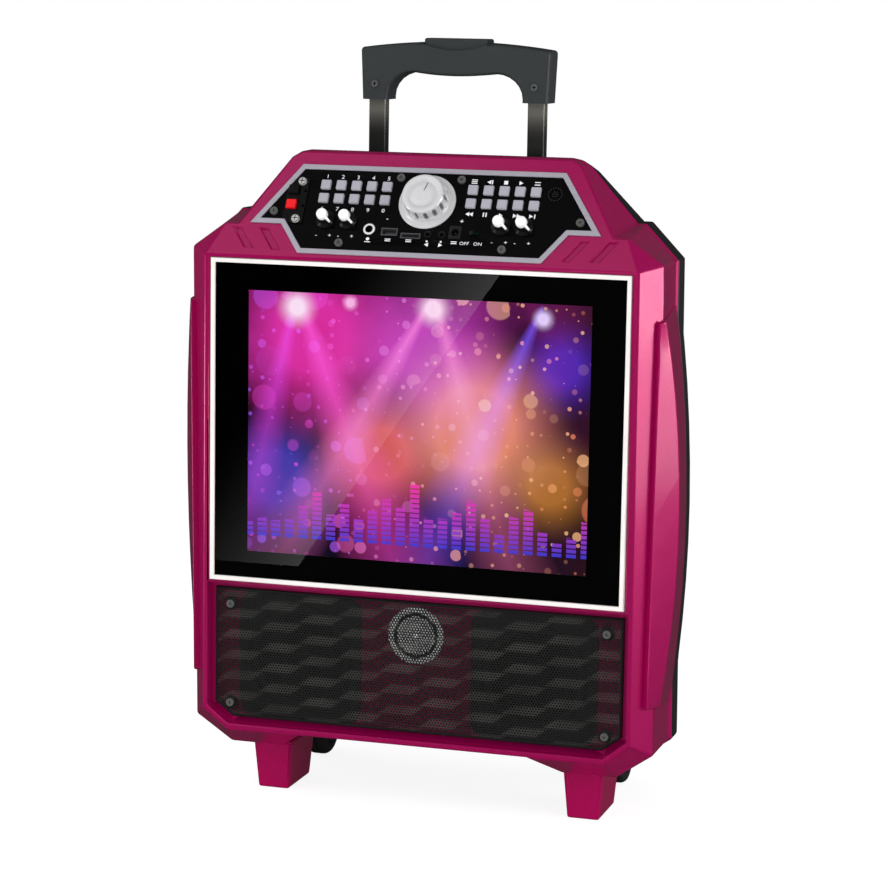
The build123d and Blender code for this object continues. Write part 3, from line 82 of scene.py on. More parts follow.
# Places of the part, in working millimetres.  U and V are right and up on the console's slope.
Y_SHIFT = -110.0
SLOPE_Y, SLOPE_Z = 0.5, 486.3
SLOPE_SIN, SLOPE_COS = 0.5, math.sqrt(0.75)
GLASS_HALF, GLASS_LOW, GLASS_TOP = 182.2, 201.5, 476.3
PICTURE_HALF, PICTURE_LOW, PICTURE_TOP = 152.05, 338.9 - 114.05, 338.9 + 114.05
PICTURE_Y, GLASS_BACK = 3.55, 2.9
OPENING_HALF, OPENING_FOOT = 189.5, 169.8
OPENING_LOW, OPENING_CORNER, OPENING_TOP = 68.2, 83.5, 194.4
SHEET_FRONT, SHEET_BACK, SHEET_Z, SHEET_INSET = 10.0, 11.0, 131.4, 7.2
PAD_RADIUS, PAD_Y = 5.6, 9.9
GRILLE_SCREWS = [(x, z) for x in (-170, 170) for z in (86, 175)]
WOOFER_X, WOOFER_Z, TWEETER_Z = 106, 131.3, 159.3
VOLUME_V, KNOB_V, KNOB_US = 52.4, 32.5, (-87.9, -68.0, 68.0, 87.9)
TERMINAL_U, TERMINAL_VS = -114.5, (49.3 - 17.75, 49.3 + 17.75)
MIC, LINE_OUT, LINE_IN = (-47.3, 25.2), (5.2, 22.7), (17.6, 22.7)
VENT = (109.9, 64.6)
KEY_U, KEY_PITCH, NUMBER_VS, DOT_V = -93.3, 13.8, (73.6, 43.0), 16.4
GRIP_FRONT, GRIP_BACK, GRIP_EDGE = 98.0, 126.0, 3.0
GRIP_SCREWS = [(x, 96.36, 628.8) for x in (-72.1, 72.1)]
WHEEL_X, WHEEL_Y, WHEEL_Z = 143.0, 178.0, 30.0

# Meshes: distances in metres under which points are one, and the angle of a sharp edge
MERGE, CAD_MERGE, SHARP = 1e-7, 2e-6, math.radians(38)


# ------------------------------------------------------------------ places
def row(points):
    """Working millimetres to row metres: (x, y - 110, z) / 1000."""
    points = np.asarray(points, float).reshape(-1, 3)
    return (points + np.array([0.0, Y_SHIFT, 0.0])) * 0.001


def on_console(uvn, du=0.0, dv=0.0):
    """Console slope (right, up the slope, out of it), moved by du and dv, to row metres.

    y = y0 + v sin 30 - n cos 30, z = z0 + v cos 30 + n sin 30.
    """
    u, v, n = (np.asarray(uvn, float).reshape(-1, 3) + np.array([du, dv, 0])).T
    y = SLOPE_Y + v * SLOPE_SIN - n * SLOPE_COS
    z = SLOPE_Z + v * SLOPE_COS + n * SLOPE_SIN
    return row(np.stack([u, y, z], 1))


def rotated(points, degrees):
    """Points turned about the third axis."""
    c, s = math.cos(math.radians(degrees)), math.sin(math.radians(degrees))
    return np.asarray(points, float) @ np.array([[c, s, 0], [-s, c, 0], [0, 0, 1]])


def srgb(red, green, blue):
    """Colour written as 0 to 255 screen values, to linear light."""
    values = np.array([red, green, blue], float) / 255
    low, high = values / 12.92, ((values + 0.055) / 1.055) ** 2.4
    return tuple(np.where(values <= 0.04045, low, high))


# ------------------------------------------------------------------ properties
def length(label, about, value, low, high):
    """A length that a user may change."""
    return bpy.props.FloatProperty(name=label, description=about, default=value, min=low,
                                   max=high, unit="LENGTH")


def paint(label, about, *values):
    """A colour that a user may change."""
    return bpy.props.FloatVectorProperty(name=label, description=about, subtype="COLOR", size=3,
                                         min=0, max=1, default=srgb(*values))


class KaraokeSizes(bpy.types.PropertyGroup):
    """Sizes of the visible detail that a user may change."""
    case_edge: length("Case edge", "Radius of the case's moulded edges", 0.0016, 0.0002, 0.003)
    hole_pitch: length("Grille pitch", "Distance between the grille's holes", 0.0026, 0.0024, 0.006)
    hole_share: bpy.props.FloatProperty(
        name="Grille hole share", description="Hole radius as a share of the cell radius",
        default=0.66, min=0.3, max=0.85)
    knob_flutes: bpy.props.IntProperty(
        name="Volume knob flutes", description="Number of finger hollows round the volume knob",
        default=14, min=6, max=24)
    tyre_ribs: bpy.props.IntProperty(
        name="Wheel spokes", description="Number of hollows in each wheel's side",
        default=5, min=3, max=9)


class KaraokeColours(bpy.types.PropertyGroup):
    """Colours of the finishes."""
    case: paint("Case lacquer", "Metallic lacquer of the front shell", 181, 2, 94)
    feet: paint("Feet", "Lacquer of the feet", 208, 2, 102)
    rim: paint("Screen rim", "Gloss plastic of the screen's rim", 236, 231, 228)
    border: paint("Console border", "Satin silver border of the console", 192, 188, 200)
    keys: paint("Keys", "Push buttons", 163, 162, 172)
    grip: paint("Handle", "Handle grip", 50, 54, 55)


# ------------------------------------------------------------------ meshes
def add_piece(name, mesh, body, look, stands=()):
    """Put a finished mesh in the scene, on its body, with its finish."""
    mesh.materials.clear()
    mesh.materials.append(finish(look))
    piece = bpy.data.objects.new(name, mesh)
    bpy.context.scene.collection.objects.link(piece)
    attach(piece, body)
    if stands:
        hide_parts(*stands)
    return piece


def add_shape(name, points, faces, slot, look, body="cabinet", stands=(), smooth=True,
              closed=False):
    """A piece from row points and faces; closed merges its seams and poles."""
    mesh = bpy.data.meshes.new(name)
    mesh.from_pydata(np.asarray(points, float).tolist(), [], [list(f) for f in faces])
    if closed:
        work = bmesh.new()
        work.from_mesh(mesh)
        bmesh.ops.remove_doubles(work, verts=work.verts, dist=MERGE)
        bmesh.ops.recalc_face_normals(work, faces=work.faces)
        work.to_mesh(mesh)
        work.free()
    mesh.validate()
    if smooth:
        mesh.shade_smooth()
        mesh.set_sharp_from_angle(angle=SHARP)
    return add_piece(name, mesh, body, look, stands)


def grid_faces(rows, columns, close_rows=False, start=0):
    """Quads of a grid of rows by columns points, closed along its columns, and perhaps its rows."""
    down = np.arange(rows if close_rows else rows - 1)
    i, j = np.meshgrid(down, np.arange(columns), indexing="ij")
    i, j = i.ravel(), j.ravel()
    ni, nj = (i + 1) % rows, (j + 1) % columns
    quads = np.stack([i * columns + j, i * columns + nj, ni * columns + nj, ni * columns + j], 1)
    return quads + start


def join(parts):
    """Join (points, faces) pairs into one pair."""
    points, faces, start = [], [], 0
    for some, quads in parts:
        points.append(np.asarray(some, float).reshape(-1, 3))
        faces.extend((np.asarray(q) + start).tolist() for q in quads)
        start += len(points[-1])
    return np.concatenate(points), faces


def turned(profile, count=64, wave=None):
    """A profile of (radius, height) turned about an axis, as (points, faces) with height last.

    p(t, a) = (r(t) w(t, a) cos a, r(t) w(t, a) sin a, h(t)), where w is 1 or the wave.
    """
    profile = np.asarray(profile, float)
    angle = np.linspace(0, 2 * np.pi, count, endpoint=False)
    radius = np.repeat(profile[:, :1], count, 1)
    if wave is not None:
        radius = radius * wave(profile, angle)
    height = np.repeat(profile[:, 1:], count, 1)
    points = np.stack([radius * np.cos(angle), radius * np.sin(angle), height], -1)
    return points.reshape(-1, 3), grid_faces(len(profile), count)


def facing(profile, count, x, y, z):
    """A profile turned about an axis that runs to the back, placed in the row frame."""
    points, quads = turned(profile, count)
    return row(points[:, [0, 2, 1]] + np.array([x, y, z])), quads


def cross(wide, slim):
    """Corners of a screw cross's two bars, about its middle."""
    return [[(-a, -b), (a, -b), (a, b), (-a, b)] for a, b in ((wide, slim), (slim, wide))]


def cad_surface(name):
    """A working copy of a CAD mesh, with its seams merged and its flat regions joined."""
    work = bmesh.new()
    work.from_mesh(frame["nodes"][name].data)
    bmesh.ops.remove_doubles(work, verts=work.verts, dist=CAD_MERGE)
    bmesh.ops.dissolve_limit(work, angle_limit=math.radians(0.8), verts=work.verts,
                             edges=work.edges, delimit=set())
    return work


def stand_in(name, work, look):
    """Finish a working copy as a smooth piece that stands in for its CAD node."""
    mesh = bpy.data.meshes.new(name + "_surface")
    work.to_mesh(mesh)
    work.free()
    mesh.shade_smooth()
    body = body_of(frame["nodes"][name])[0]
    return add_piece(name + "_surface", mesh, body, look, [name])


def softened(name, look, width, least=4.0, corner=25.0, segments=3, sharp=10.0):
    """CAD surfaces with their longer edges rounded to a width in metres.

    An edge is rounded where it is convex, longer than `least` mm and turns by more than `corner`
    degrees.  Faces that turn by more than `sharp` degrees are shaded apart.
    """
    work = cad_surface(name)
    many = [face for face in work.faces if len(face.verts) > 4]
    bmesh.ops.triangulate(work, faces=many, ngon_method="BEAUTY")
    turn = np.array([edge.calc_face_angle_signed(0.0) for edge in work.edges])
    size = np.array([edge.calc_length() for edge in work.edges])
    weight = ((turn > math.radians(corner)) & (size > least * 0.001)).astype(np.float32)
    piece = stand_in(name, work, look)
    layer = piece.data.attributes.new("bevel_weight_edge", "FLOAT", "EDGE")
    layer.data.foreach_set("value", weight)
    piece.data.set_sharp_from_angle(angle=math.radians(sharp))
    bevel = piece.modifiers.new("Rounded edges", "BEVEL")
    bevel.width = width
    bevel.segments = segments
    bevel.limit_method = "WEIGHT"
    bevel.use_clamp_overlap = False
    bevel.harden_normals = True
    bevel.miter_outer = "MITER_ARC"


def rolled(name, look, front, back, edge):
    """CAD surfaces whose chamfers, round a front and a back plane, are shaded as rounded edges.

    A chamfer's corner takes the normal of the plane where it lies in that plane, and otherwise the
    average normal of the sides that it meets.
    """
    work = cad_surface(name)
    bmesh.ops.triangulate(work, faces=work.faces, ngon_method="BEAUTY")
    work.normal_update()
    normals = []
    for face in work.faces:
        flat = face.normal.copy()
        chamfer = 0.5 < abs(flat.y) < 0.9
        for loop in face.loops:
            y = loop.vert.co.y
            if not chamfer and abs(flat.y) > 0.5:
                normals.append(flat)
                continue
            if chamfer and min(abs(y - front), abs(y - back)) < edge * 0.05:
                normals.append(Vector((0.0, math.copysign(1.0, flat.y), 0.0)))
                continue
            own = Vector((flat.x, 0.0, flat.z)).normalized() if chamfer else flat
            total = Vector()
            for near in loop.vert.link_faces:
                side = Vector((near.normal.x, 0.0, near.normal.z))
                if side.length > 0.3 and side.normalized().dot(own) > 0.8:
                    total += side.normalized() * near.calc_area()
            normals.append((total if total.length > 0 else own).normalized())
    stand_in(name, work, look).data.normals_split_custom_set(normals)


# ------------------------------------------------------------------ shader nodes
class Number:
    """A node's output on which + - * / < > and the methods below add Math nodes."""

    def __init__(self, tree, socket):
        self.tree, self.socket = tree, socket

    def maths(self, operation, *others):
        """The result of a Math node on this and the others."""
        made = node(self.tree, "Math", self, *others, operation=operation)
        return Number(self.tree, made.outputs[0])

    def clamped(self):
        """This, with its Math node's result held between 0 and 1."""
        self.socket.node.use_clamp = True
        return self

    def __add__(self, other):
        return self.maths("ADD", other)

    def __sub__(self, other):
        return self.maths("SUBTRACT", other)

    def __rsub__(self, other):
        return self.maths("MULTIPLY_ADD", -1.0, other)

    def __mul__(self, other):
        return self.maths("MULTIPLY", other)

    def __truediv__(self, other):
        return self.maths("DIVIDE", other)

    def __lt__(self, other):
        return self.maths("LESS_THAN", other)

    def __gt__(self, other):
        return self.maths("GREATER_THAN", other)


def plug(tree, target, value):
    """Link a node's output to an input, or set the input's own value."""
    value = value.socket if isinstance(value, Number) else value
    if isinstance(value, bpy.types.NodeSocket):
        tree.links.new(value, target)
    elif target.type == "RGBA" and len(value) == 3:
        target.default_value = (*value, 1.0)
    else:
        target.default_value = value


def node(tree, kind, *numbered, **named):
    """Add a node.  Numbered values fill its inputs in order and capitalised names the inputs of
    that name; other names set its properties.
    """
    made = tree.nodes.new("ShaderNode" + kind)
    for key, value in named.items():
        if key[0].islower():
            setattr(made, key, value)
    for key, value in [*enumerate(numbered), *named.items()]:
        if isinstance(key, int) or key[0].isupper():
            plug(tree, made.inputs[key], value)
    return made


def vector(tree, operation, *numbered, **named):
    """The result of a Vector Math node."""
    made = node(tree, "VectorMath", *numbered, operation=operation, **named)
    plain = operation in ("LENGTH", "DOT_PRODUCT")
    return Number(tree, made.outputs["Value" if plain else "Vector"])


def noise(tree, **named):
    """The height of a Noise Texture."""
    return Number(tree, node(tree, "TexNoise", **named).outputs[0])


def split(tree, value, kind="SeparateXYZ"):
    """The three parts of a place or a colour."""
    return [Number(tree, socket) for socket in node(tree, kind, value).outputs[:3]]


def blend(tree, factor, a, b, mode="MIX"):
    """The result of a colour Mix node."""
    made = node(tree, "Mix", data_type="RGBA", blend_type=mode)
    for key, value in (("Factor_Float", factor), ("A_Color", a), ("B_Color", b)):
        plug(tree, next(s for s in made.inputs if s.identifier == key), value)
    return next(s for s in made.outputs if s.identifier == "Result_Color")


# ------------------------------------------------------------------ shader node groups
def paint_flakes(tree, given):
    """A fine cell pattern whose cells are a little lighter or darker, with soft mottling."""
    cells = node(tree, "TexVoronoi", Vector=given["Vector"], Scale=given["Scale"])
    red, green, _ = split(tree, cells.outputs["Color"], "SeparateColor")
    drift = noise(tree, Vector=given["Vector"], Scale=9.0, Detail=2.0) * 2.0 - 1.0
    shade = (drift * 0.5 + (red * 2.0 - 1.0)) * given["Amount"] + 1.0
    return {"Color": vector(tree, "SCALE", given["Color"], Scale=shade), "Height": green}


def moulded_grain(tree, given):
    """Small rounded cells over slow waviness."""
    place, scale = given["Vector"], given["Scale"]
    cells = node(tree, "TexVoronoi", Vector=place, Scale=scale, feature="SMOOTH_F1")
    slow = noise(tree, Vector=place, Scale=14.0, Detail=2.0)
    return {"Color": vector(tree, "SCALE", given["Color"], Scale=slow * 0.3 + 0.85),
            "Height": noise(tree, Vector=place, Scale=scale, Detail=3.0)
            + cells.outputs["Distance"],
            "Roughness": slow * 0.16 + given["Roughness"] - 0.08}


def brushed_metal(tree, given):
    """Noise stretched along one way."""
    along = node(tree, "Mapping", Vector=given["Vector"], Scale=given["Stretch"]).outputs[0]
    lines = noise(tree, Vector=along, Scale=1.0, Detail=4.0)
    return {"Color": vector(tree, "SCALE", given["Color"], Scale=lines * 0.30 + 0.85),
            "Height": lines, "Roughness": lines * 0.22 + given["Roughness"]}


def soft_disc(tree, given):
    """1 inside a radius about a centre, in X and Z, falling to 0 over the softness."""
    apart = vector(tree, "SUBTRACT", given["Vector"], given["Centre"])
    far = vector(tree, "LENGTH", vector(tree, "MULTIPLY", apart, (1.0, 0.0, 1.0)))
    soft = ((given["Radius"] - far) / given["Softness"] + 1.0).clamped()
    return {"Mask": soft * soft}


def light_beam(tree, given):
    """1 along a ray from a lamp, in X and Z, as wide as its spread and fading out."""
    apart = vector(tree, "SUBTRACT", given["Vector"], given["Lamp"])
    along = vector(tree, "DOT_PRODUCT", apart, given["Way"])
    side = vector(tree, "CROSS_PRODUCT", given["Way"], (0.0, 1.0, 0.0))
    across = vector(tree, "DOT_PRODUCT", apart, side).maths("ABSOLUTE")
    core = (1.0 - across / (along * given["Spread"] + 0.002)).clamped()
    fade = (1.0 - along / given["Reach"]).clamped()
    return {"Mask": core * (along * 200.0).clamped() * fade}


ORIGIN, GREY = (0.0, 0.0, 0.0), (0.5, 0.5, 0.5, 1.0)
EFFECTS = {
    paint_flakes: {"Vector": ORIGIN, "Color": GREY, "Scale": 900.0, "Amount": 0.1},
    moulded_grain: {"Vector": ORIGIN, "Color": GREY, "Scale": 900.0, "Roughness": 0.5},
    brushed_metal: {"Vector": ORIGIN, "Color": GREY, "Stretch": (20.0, 20.0, 2000.0),
                    "Roughness": 0.25},
    soft_disc: {"Vector": ORIGIN, "Centre": ORIGIN, "Radius": 0.01, "Softness": 0.01},
    light_beam: {"Vector": ORIGIN, "Lamp": ORIGIN, "Way": ORIGIN, "Spread": 0.2, "Reach": 0.3},
}


def group_of(effect):
    """The node group of an effect, made the first time that it is asked for."""
    name = effect.__name__.replace("_", " ").capitalize()
    group = bpy.data.node_groups.get(name)
    if group:
        return group
    group = bpy.data.node_groups.new(name, "ShaderNodeTree")
    for label, value in EFFECTS[effect].items():
        kind = {1: "Float", 3: "Vector", 4: "Color"}[np.size(value)]
        socket = group.interface.new_socket(label, in_out="INPUT",
                                            socket_type="NodeSocket" + kind)
        socket.default_value = value
    source = group.nodes.new("NodeGroupInput")
    given = {label: Number(group, source.outputs[label]) for label in EFFECTS[effect]}
    results = effect(group, given)
    for label in results:
        kind = "Color" if label == "Color" else "Float"
        group.interface.new_socket(label, in_out="OUTPUT", socket_type="NodeSocket" + kind)
    sink = group.nodes.new("NodeGroupOutput")
    for label, value in results.items():
        plug(group, sink.inputs[label], value)
    return group


def use(tree, effect, **values):
    """Place a shared effect in a material, and give its outputs by name."""
    made = tree.nodes.new("ShaderNodeGroup")
    made.node_tree = group_of(effect)
    for label, value in values.items():
        plug(tree, made.inputs[label], value)
    return {socket.name: Number(tree, socket) for socket in made.outputs}


# ------------------------------------------------------------------ finishes
def plain(shader, **values):
    """Set a Principled shader's own values, by their names in lower case."""
    for label, value in values.items():
        label = label.replace("_", " ").title().replace("Ior", "IOR")
        shader.inputs[label].default_value = value


def relief(tree, shader, height, strength, depth):
    """Feed a height to the shader's normal."""
    bump = node(tree, "Bump", Height=height, Strength=strength, Distance=depth)
    plug(tree, shader.inputs["Normal"], bump.outputs[0])


def dress(tree, shader, colour, height, strength, depth, roughness=None):
    """Feed a colour, a height and perhaps a roughness to the shader."""
    plug(tree, shader.inputs["Base Color"], colour)
    relief(tree, shader, height, strength, depth)
    if roughness is not None:
        plug(tree, shader.inputs["Roughness"], roughness)


def tone(colour):
    """Linear colour of screen values, or of a user's colour by its name."""
    if isinstance(colour, str):
        return tuple(getattr(bpy.context.scene.karaoke_colours, colour))
    return srgb(*colour)


def lacquer(tree, shader, where, colour):
    """Metallic lacquer: flakes in the colour under a clear coat."""
    plain(shader, metallic=0.45, roughness=0.32, coat_weight=1.0, coat_roughness=0.13)
    flakes = use(tree, paint_flakes, Vector=where, Color=tone(colour), Scale=1500.0, Amount=0.10)
    dress(tree, shader, flakes["Color"], flakes["Height"], 0.10, 0.0002)


def plastic(tree, shader, where, colour, roughness=0.5, scale=1400.0, depth=0.00006,
            strength=0.35, specular=0.5):
    """Moulded plastic with a fine grain."""
    plain(shader, specular_ior_level=specular)
    grain = use(tree, moulded_grain, Vector=where, Color=tone(colour), Scale=scale,
                Roughness=roughness)
    dress(tree, shader, grain["Color"], grain["Height"], strength, depth, grain["Roughness"])


def metal(tree, shader, where, colour, roughness, stretch=(20, 20, 2500), metallic=1.0):
    """Brushed or drawn metal, or with less metallic a metal paint."""
    plain(shader, metallic=metallic)
    lines = use(tree, brushed_metal, Vector=where, Color=tone(colour), Stretch=stretch,
                Roughness=roughness)
    dress(tree, shader, lines["Color"], lines["Height"], 0.15, 0.00004, lines["Roughness"])


def clear_glass(tree, shader, where):
    """Clear glass."""
    plain(shader, base_color=(1, 1, 1, 1), transmission_weight=1.0, roughness=0.0, ior=1.42)


def circuit(tree, shader, where):
    """Circuit board: green mask with lighter copper runs under it."""
    plain(shader, roughness=0.35)
    cells = node(tree, "TexVoronoi", Vector=where, Scale=220.0, feature="DISTANCE_TO_EDGE")
    runs = Number(tree, cells.outputs["Distance"]) < 0.05
    dress(tree, shader, blend(tree, runs, srgb(14, 74, 42), srgb(48, 128, 76)), runs, 0.2, 0.00003)


def tube_gloss(tree, shader, where):
    """Black gloss of the tubes, with a painted reflection: the colour turns warm grey towards the
    top, under the grip.
    """
    plain(shader, metallic=0.4, roughness=0.24)
    # Painted reflection: a lighter warm grey blended in by height near the top of the tubes, in
    # place of a reflected light.
    rise = ((split(tree, where)[2] - 0.583) / 0.022).clamped()
    shade = blend(tree, rise * rise, srgb(42, 42, 41), srgb(114, 111, 104))
    lines = noise(tree, Vector=where, Scale=900.0, Detail=2.0)
    dress(tree, shader, shade, lines, 0.1, 0.00002)


def weave(tree, shader, where):
    """Grille sheet colour: lighter grey lozenges in staggered columns, where the rows of holes line
    up.
    """
    plain(shader, roughness=0.45)
    x, _, z = split(tree, where)
    z = z / 0.0185
    across = x / 0.037 + (z * 2.0 + 0.5).maths("FRACT") * -0.34
    odd = across.maths("FLOOR").maths("PINGPONG", 1.0)
    middle = ((odd * 0.5 + z).maths("FRACT") - 0.5).maths("ABSOLUTE")
    side = (across.maths("FRACT") - 0.5).maths("ABSOLUTE")
    band = ((0.27 - middle) * 9.0).clamped()
    ends = ((0.44 - side) * 12.0).clamped()
    mask = band * ends * noise(tree, Vector=where, Scale=30.0, Detail=2.0)
    grain = use(tree, moulded_grain, Vector=where, Scale=1800.0, Roughness=0.45,
                Color=blend(tree, mask, srgb(31, 31, 30), srgb(68, 68, 64)))
    dress(tree, shader, grain["Color"], grain["Height"], 0.2, 0.00003)


def knob_metal(tree, shader, where):
    """Silver of the volume knob: fine turned rings about its own axis, with painted shade darkening
    the lower flutes.
    """
    plain(shader, metallic=0.42)
    out = (0.0, -SLOPE_COS, SLOPE_SIN)
    local = vector(tree, "SUBTRACT", where, tuple(on_console([(0, VOLUME_V, 0)])[0]))
    height = vector(tree, "DOT_PRODUCT", local, out)
    far = vector(tree, "LENGTH", vector(tree, "CROSS_PRODUCT", local, out))
    rings = noise(tree, W=far * 2600.0, Detail=3.0, noise_dimensions="1D")
    # Painted shade: the hollows of the flutes, low on the cap, are darkened in place of their
    # shadow.
    hollow = ((0.0187 - far) / 0.0012).clamped()
    below = ((0.0150 - height) / 0.002).clamped()
    flute_shade = hollow * below * (height / 0.001 - 3.0).clamped()
    shade = (rings * 0.18 + 0.80) * (1.0 - flute_shade * 0.72)
    silver = vector(tree, "SCALE", srgb(250, 250, 252), Scale=shade)
    dress(tree, shader, silver, rings, 0.12, 0.00004, rings * 0.14 + 0.22)


# Display, in metres: (x, z, radius, softness, colour) of glows and lamps; (lamp's x and z, way,
# spread, reach, colour, power) of beams; (scale, largest radius, power) of three layers of sparks
GLOWS = [
    (-0.092, 0.415, 0.030, 0.075, (236, 44, 160)), (0.010, 0.405, 0.025, 0.070, (196, 60, 190)),
    (0.052, 0.345, 0.034, 0.060, (250, 150, 104)), (-0.030, 0.318, 0.022, 0.048, (232, 96, 74)),
    (-0.126, 0.292, 0.022, 0.046, (44, 56, 180)), (0.118, 0.300, 0.016, 0.040, (190, 120, 40)),
    (0.128, 0.400, 0.014, 0.036, (70, 40, 190)),
]
LAMPS = [
    (-0.108, 0.440, 0.006, 0.016, (255, 226, 244)), (0.014, 0.444, 0.006, 0.014, (255, 214, 236)),
    (0.110, 0.440, 0.004, 0.008, (224, 206, 255)), (-0.060, 0.446, 0.003, 0.006, (255, 180, 226)),
]
BEAMS = [
    ((-0.108, 0.453), (0.36, -0.93), 0.20, 0.36, (255, 70, 190), 0.9),
    ((-0.108, 0.453), (-0.22, -0.97), 0.14, 0.30, (210, 60, 220), 0.7),
    ((0.014, 0.455), (-0.50, -0.86), 0.13, 0.34, (255, 120, 200), 0.8),
    ((0.014, 0.455), (0.30, -0.95), 0.16, 0.34, (250, 120, 170), 0.7),
    ((0.110, 0.452), (-0.40, -0.91), 0.15, 0.36, (110, 80, 240), 0.8),
]
SPARKS = [(24.0, 0.36, 0.42), (46.0, 0.30, 0.60), (95.0, 0.22, 0.70)]
BAR_PITCH, BAR_HALF, BAR_FOOT, STEP_PITCH = 0.0126, 0.34, 0.2390, 0.0042


def picture(tree, shader, where):
    """A lit stage on the display: beams and soft lamps over a row of level bars."""
    plain(shader, base_color=(0, 0, 0, 1), roughness=0.6, specular_ior_level=0.0,
          emission_strength=1.0)
    x, _, z = split(tree, where)
    height = ((z - 0.2248) / 0.2281).clamped()
    colour = blend(tree, height, srgb(20, 14, 52), srgb(150, 34, 128))
    colour = blend(tree, (x * 8.0 - 0.3).clamped(), colour, srgb(44, 16, 22))
    murk = (noise(tree, Vector=where, Scale=14.0, Detail=6.0) * 3.2 - 1.0).clamped()
    colour = blend(tree, murk, srgb(12, 6, 20), colour)

    def spots(colour, table, power):
        for cx, cz, radius, soft, tint in table:
            mask = use(tree, soft_disc, Vector=where, Centre=(cx, 0, cz), Radius=radius,
                       Softness=soft)["Mask"]
            colour = blend(tree, mask * power, colour, srgb(*tint), "SCREEN")
        return colour

    colour = spots(colour, GLOWS, 0.8)
    for (lx, lz), way, spread, reach, tint, power in BEAMS:
        size = math.hypot(*way)
        mask = use(tree, light_beam, Vector=where, Lamp=(lx, 0, lz), Spread=spread, Reach=reach,
                   Way=(way[0] / size, 0, way[1] / size))["Mask"]
        colour = blend(tree, mask * power, colour, srgb(*tint), "SCREEN")
    flat = node(tree, "CombineXYZ", X=x, Y=z).outputs[0]
    warm = (x * 6.0 + 0.5).clamped()
    for scale, radius, power in SPARKS:
        cells = node(tree, "TexVoronoi", Vector=flat, Scale=scale, Randomness=0.9,
                     voronoi_dimensions="2D").outputs
        pick = split(tree, cells["Color"], "SeparateColor")
        lit = ((pick[0] * radius - cells["Distance"]) * 30.0).clamped()
        some = ((pick[1] - 0.35) * 2.0).clamped()
        cool = blend(tree, pick[2], srgb(226, 50, 170), srgb(116, 80, 236))
        gold = blend(tree, pick[2], srgb(255, 196, 140), srgb(244, 120, 84))
        colour = blend(tree, lit * some * power, colour, blend(tree, warm, cool, gold), "SCREEN")
    colour = spots(colour, LAMPS, 1.0)
    bars = x * (1 / BAR_PITCH) + 50.5
    inside = (bars.maths("FRACT") - 0.5).maths("ABSOLUTE") < BAR_HALF
    level = node(tree, "TexWhiteNoise", W=bars.maths("FLOOR"), noise_dimensions="1D")
    level = Number(tree, level.outputs["Value"]) * 0.045 + 0.018
    top = level * (1.0 - x.maths("ABSOLUTE") * 3.2) + BAR_FOOT
    step = (z * (1 / STEP_PITCH)).maths("FRACT") < 0.74
    mask = inside * step * (z < top) * (z > BAR_FOOT)
    rise = ((z - BAR_FOOT) * 18.0).clamped()
    bar = blend(tree, rise, srgb(54, 60, 210), srgb(255, 60, 170))
    colour = blend(tree, mask * 0.9, colour, bar)
    plug(tree, shader.inputs["Emission Color"], colour)
    relief(tree, shader, (z * 1800.0).maths("FRACT"), 0.05, 0.00001)


# Each finish: its maker and what the maker takes after the coordinates
FINISHES = {
    "case_lacquer": (lacquer, "case"),
    "feet_lacquer": (lacquer, "feet"),
    "rear_black": (plastic, (26, 26, 28), 0.48, 900.0),
    "rim_white": (plastic, "rim", 0.22, 2000.0, 0.00002, 0.1),
    "glass_clear": (clear_glass,),
    "glass_black": (plastic, (5, 5, 6), 0.5, 600.0, 0.00001, 0.1, 0.0),
    "picture": (picture,),
    "module_metal": (metal, (140, 142, 146), 0.35),
    "console_black": (plastic, (7, 7, 8), 0.24, 2200.0, 0.00001, 0.1, 0.08),
    "border_silver": (metal, "border", 0.26, (30, 900, 900), 0.45),
    "circuit_green": (circuit,),
    "battery_grey": (plastic, (48, 49, 52), 0.45, 700.0),
    "grille_black": (plastic, (24, 24, 24), 0.42, 1800.0, 0.00003, 0.2),
    "grille_weave": (weave,),
    "speaker_frame": (plastic, (34, 34, 36), 0.40, 1200.0),
    "speaker_cone": (plastic, (38, 37, 39), 0.75, 3000.0, 0.00012, 0.6),
    "dome_silver": (metal, (252, 252, 253), 0.26, (400, 400, 400), 0.25),
    "tyre_rubber": (plastic, (28, 28, 29), 0.68, 1600.0, 0.0001, 0.5),
    "axle_steel": (metal, (170, 171, 174), 0.25),
    # The tubes' finish carries a painted reflection near the grip.
    "tube_black": (tube_gloss,),
    "grip_plastic": (plastic, "grip", 0.52, 1500.0, 0.00008, 0.45),
    "key_grey": (plastic, "keys", 0.35, 2400.0, 0.00002, 0.2),
    "knob_silver": (knob_metal,),
    "knob_black": (plastic, (16, 16, 17), 0.30, 2400.0, 0.00002, 0.2),
    "knob_white": (plastic, (238, 238, 240), 0.28, 2400.0, 0.00001, 0.1),
    "socket_metal": (metal, (238, 238, 240), 0.22, (20, 20, 2500), 0.3),
    "socket_black": (plastic, (22, 22, 24), 0.36, 1800.0),
    "lever_red": (plastic, (224, 16, 26), 0.26, 2400.0, 0.00002, 0.15),
    "screw_grey": (metal, (96, 96, 95), 0.35, (600, 600, 600), 0.3),
    "port_metal": (metal, (96, 96, 99), 0.25, (20, 20, 2500), 0.5),
    "screw_bright": (metal, (226, 224, 220), 0.22, (600, 600, 600), 0.5),
    "block_black": (plastic, (15, 15, 16), 0.35, 1800.0, 0.00002, 0.15, 0.2),
    "print_white": (plastic, (232, 232, 236), 0.5, 3000.0, 0.00001, 0.1),
    # Near-black of the painted shade in the screws' cross recesses.
    "dust_dark": (plastic, (6, 6, 7), 0.8, 900.0),
}


def finish(name):
    """A finish by name, made the first time that it is asked for."""
    label = name + "_finish"
    have = bpy.data.materials.get(label)
    if have:
        return have
    made = bpy.data.materials.new(label)
    made.use_nodes = True
    tree = made.node_tree
    where = tree.nodes.new("ShaderNodeTexCoord").outputs["Object"]
    maker, *values = FINISHES[name]
    maker(tree, tree.nodes["Principled BSDF"], where, *values)
    return made


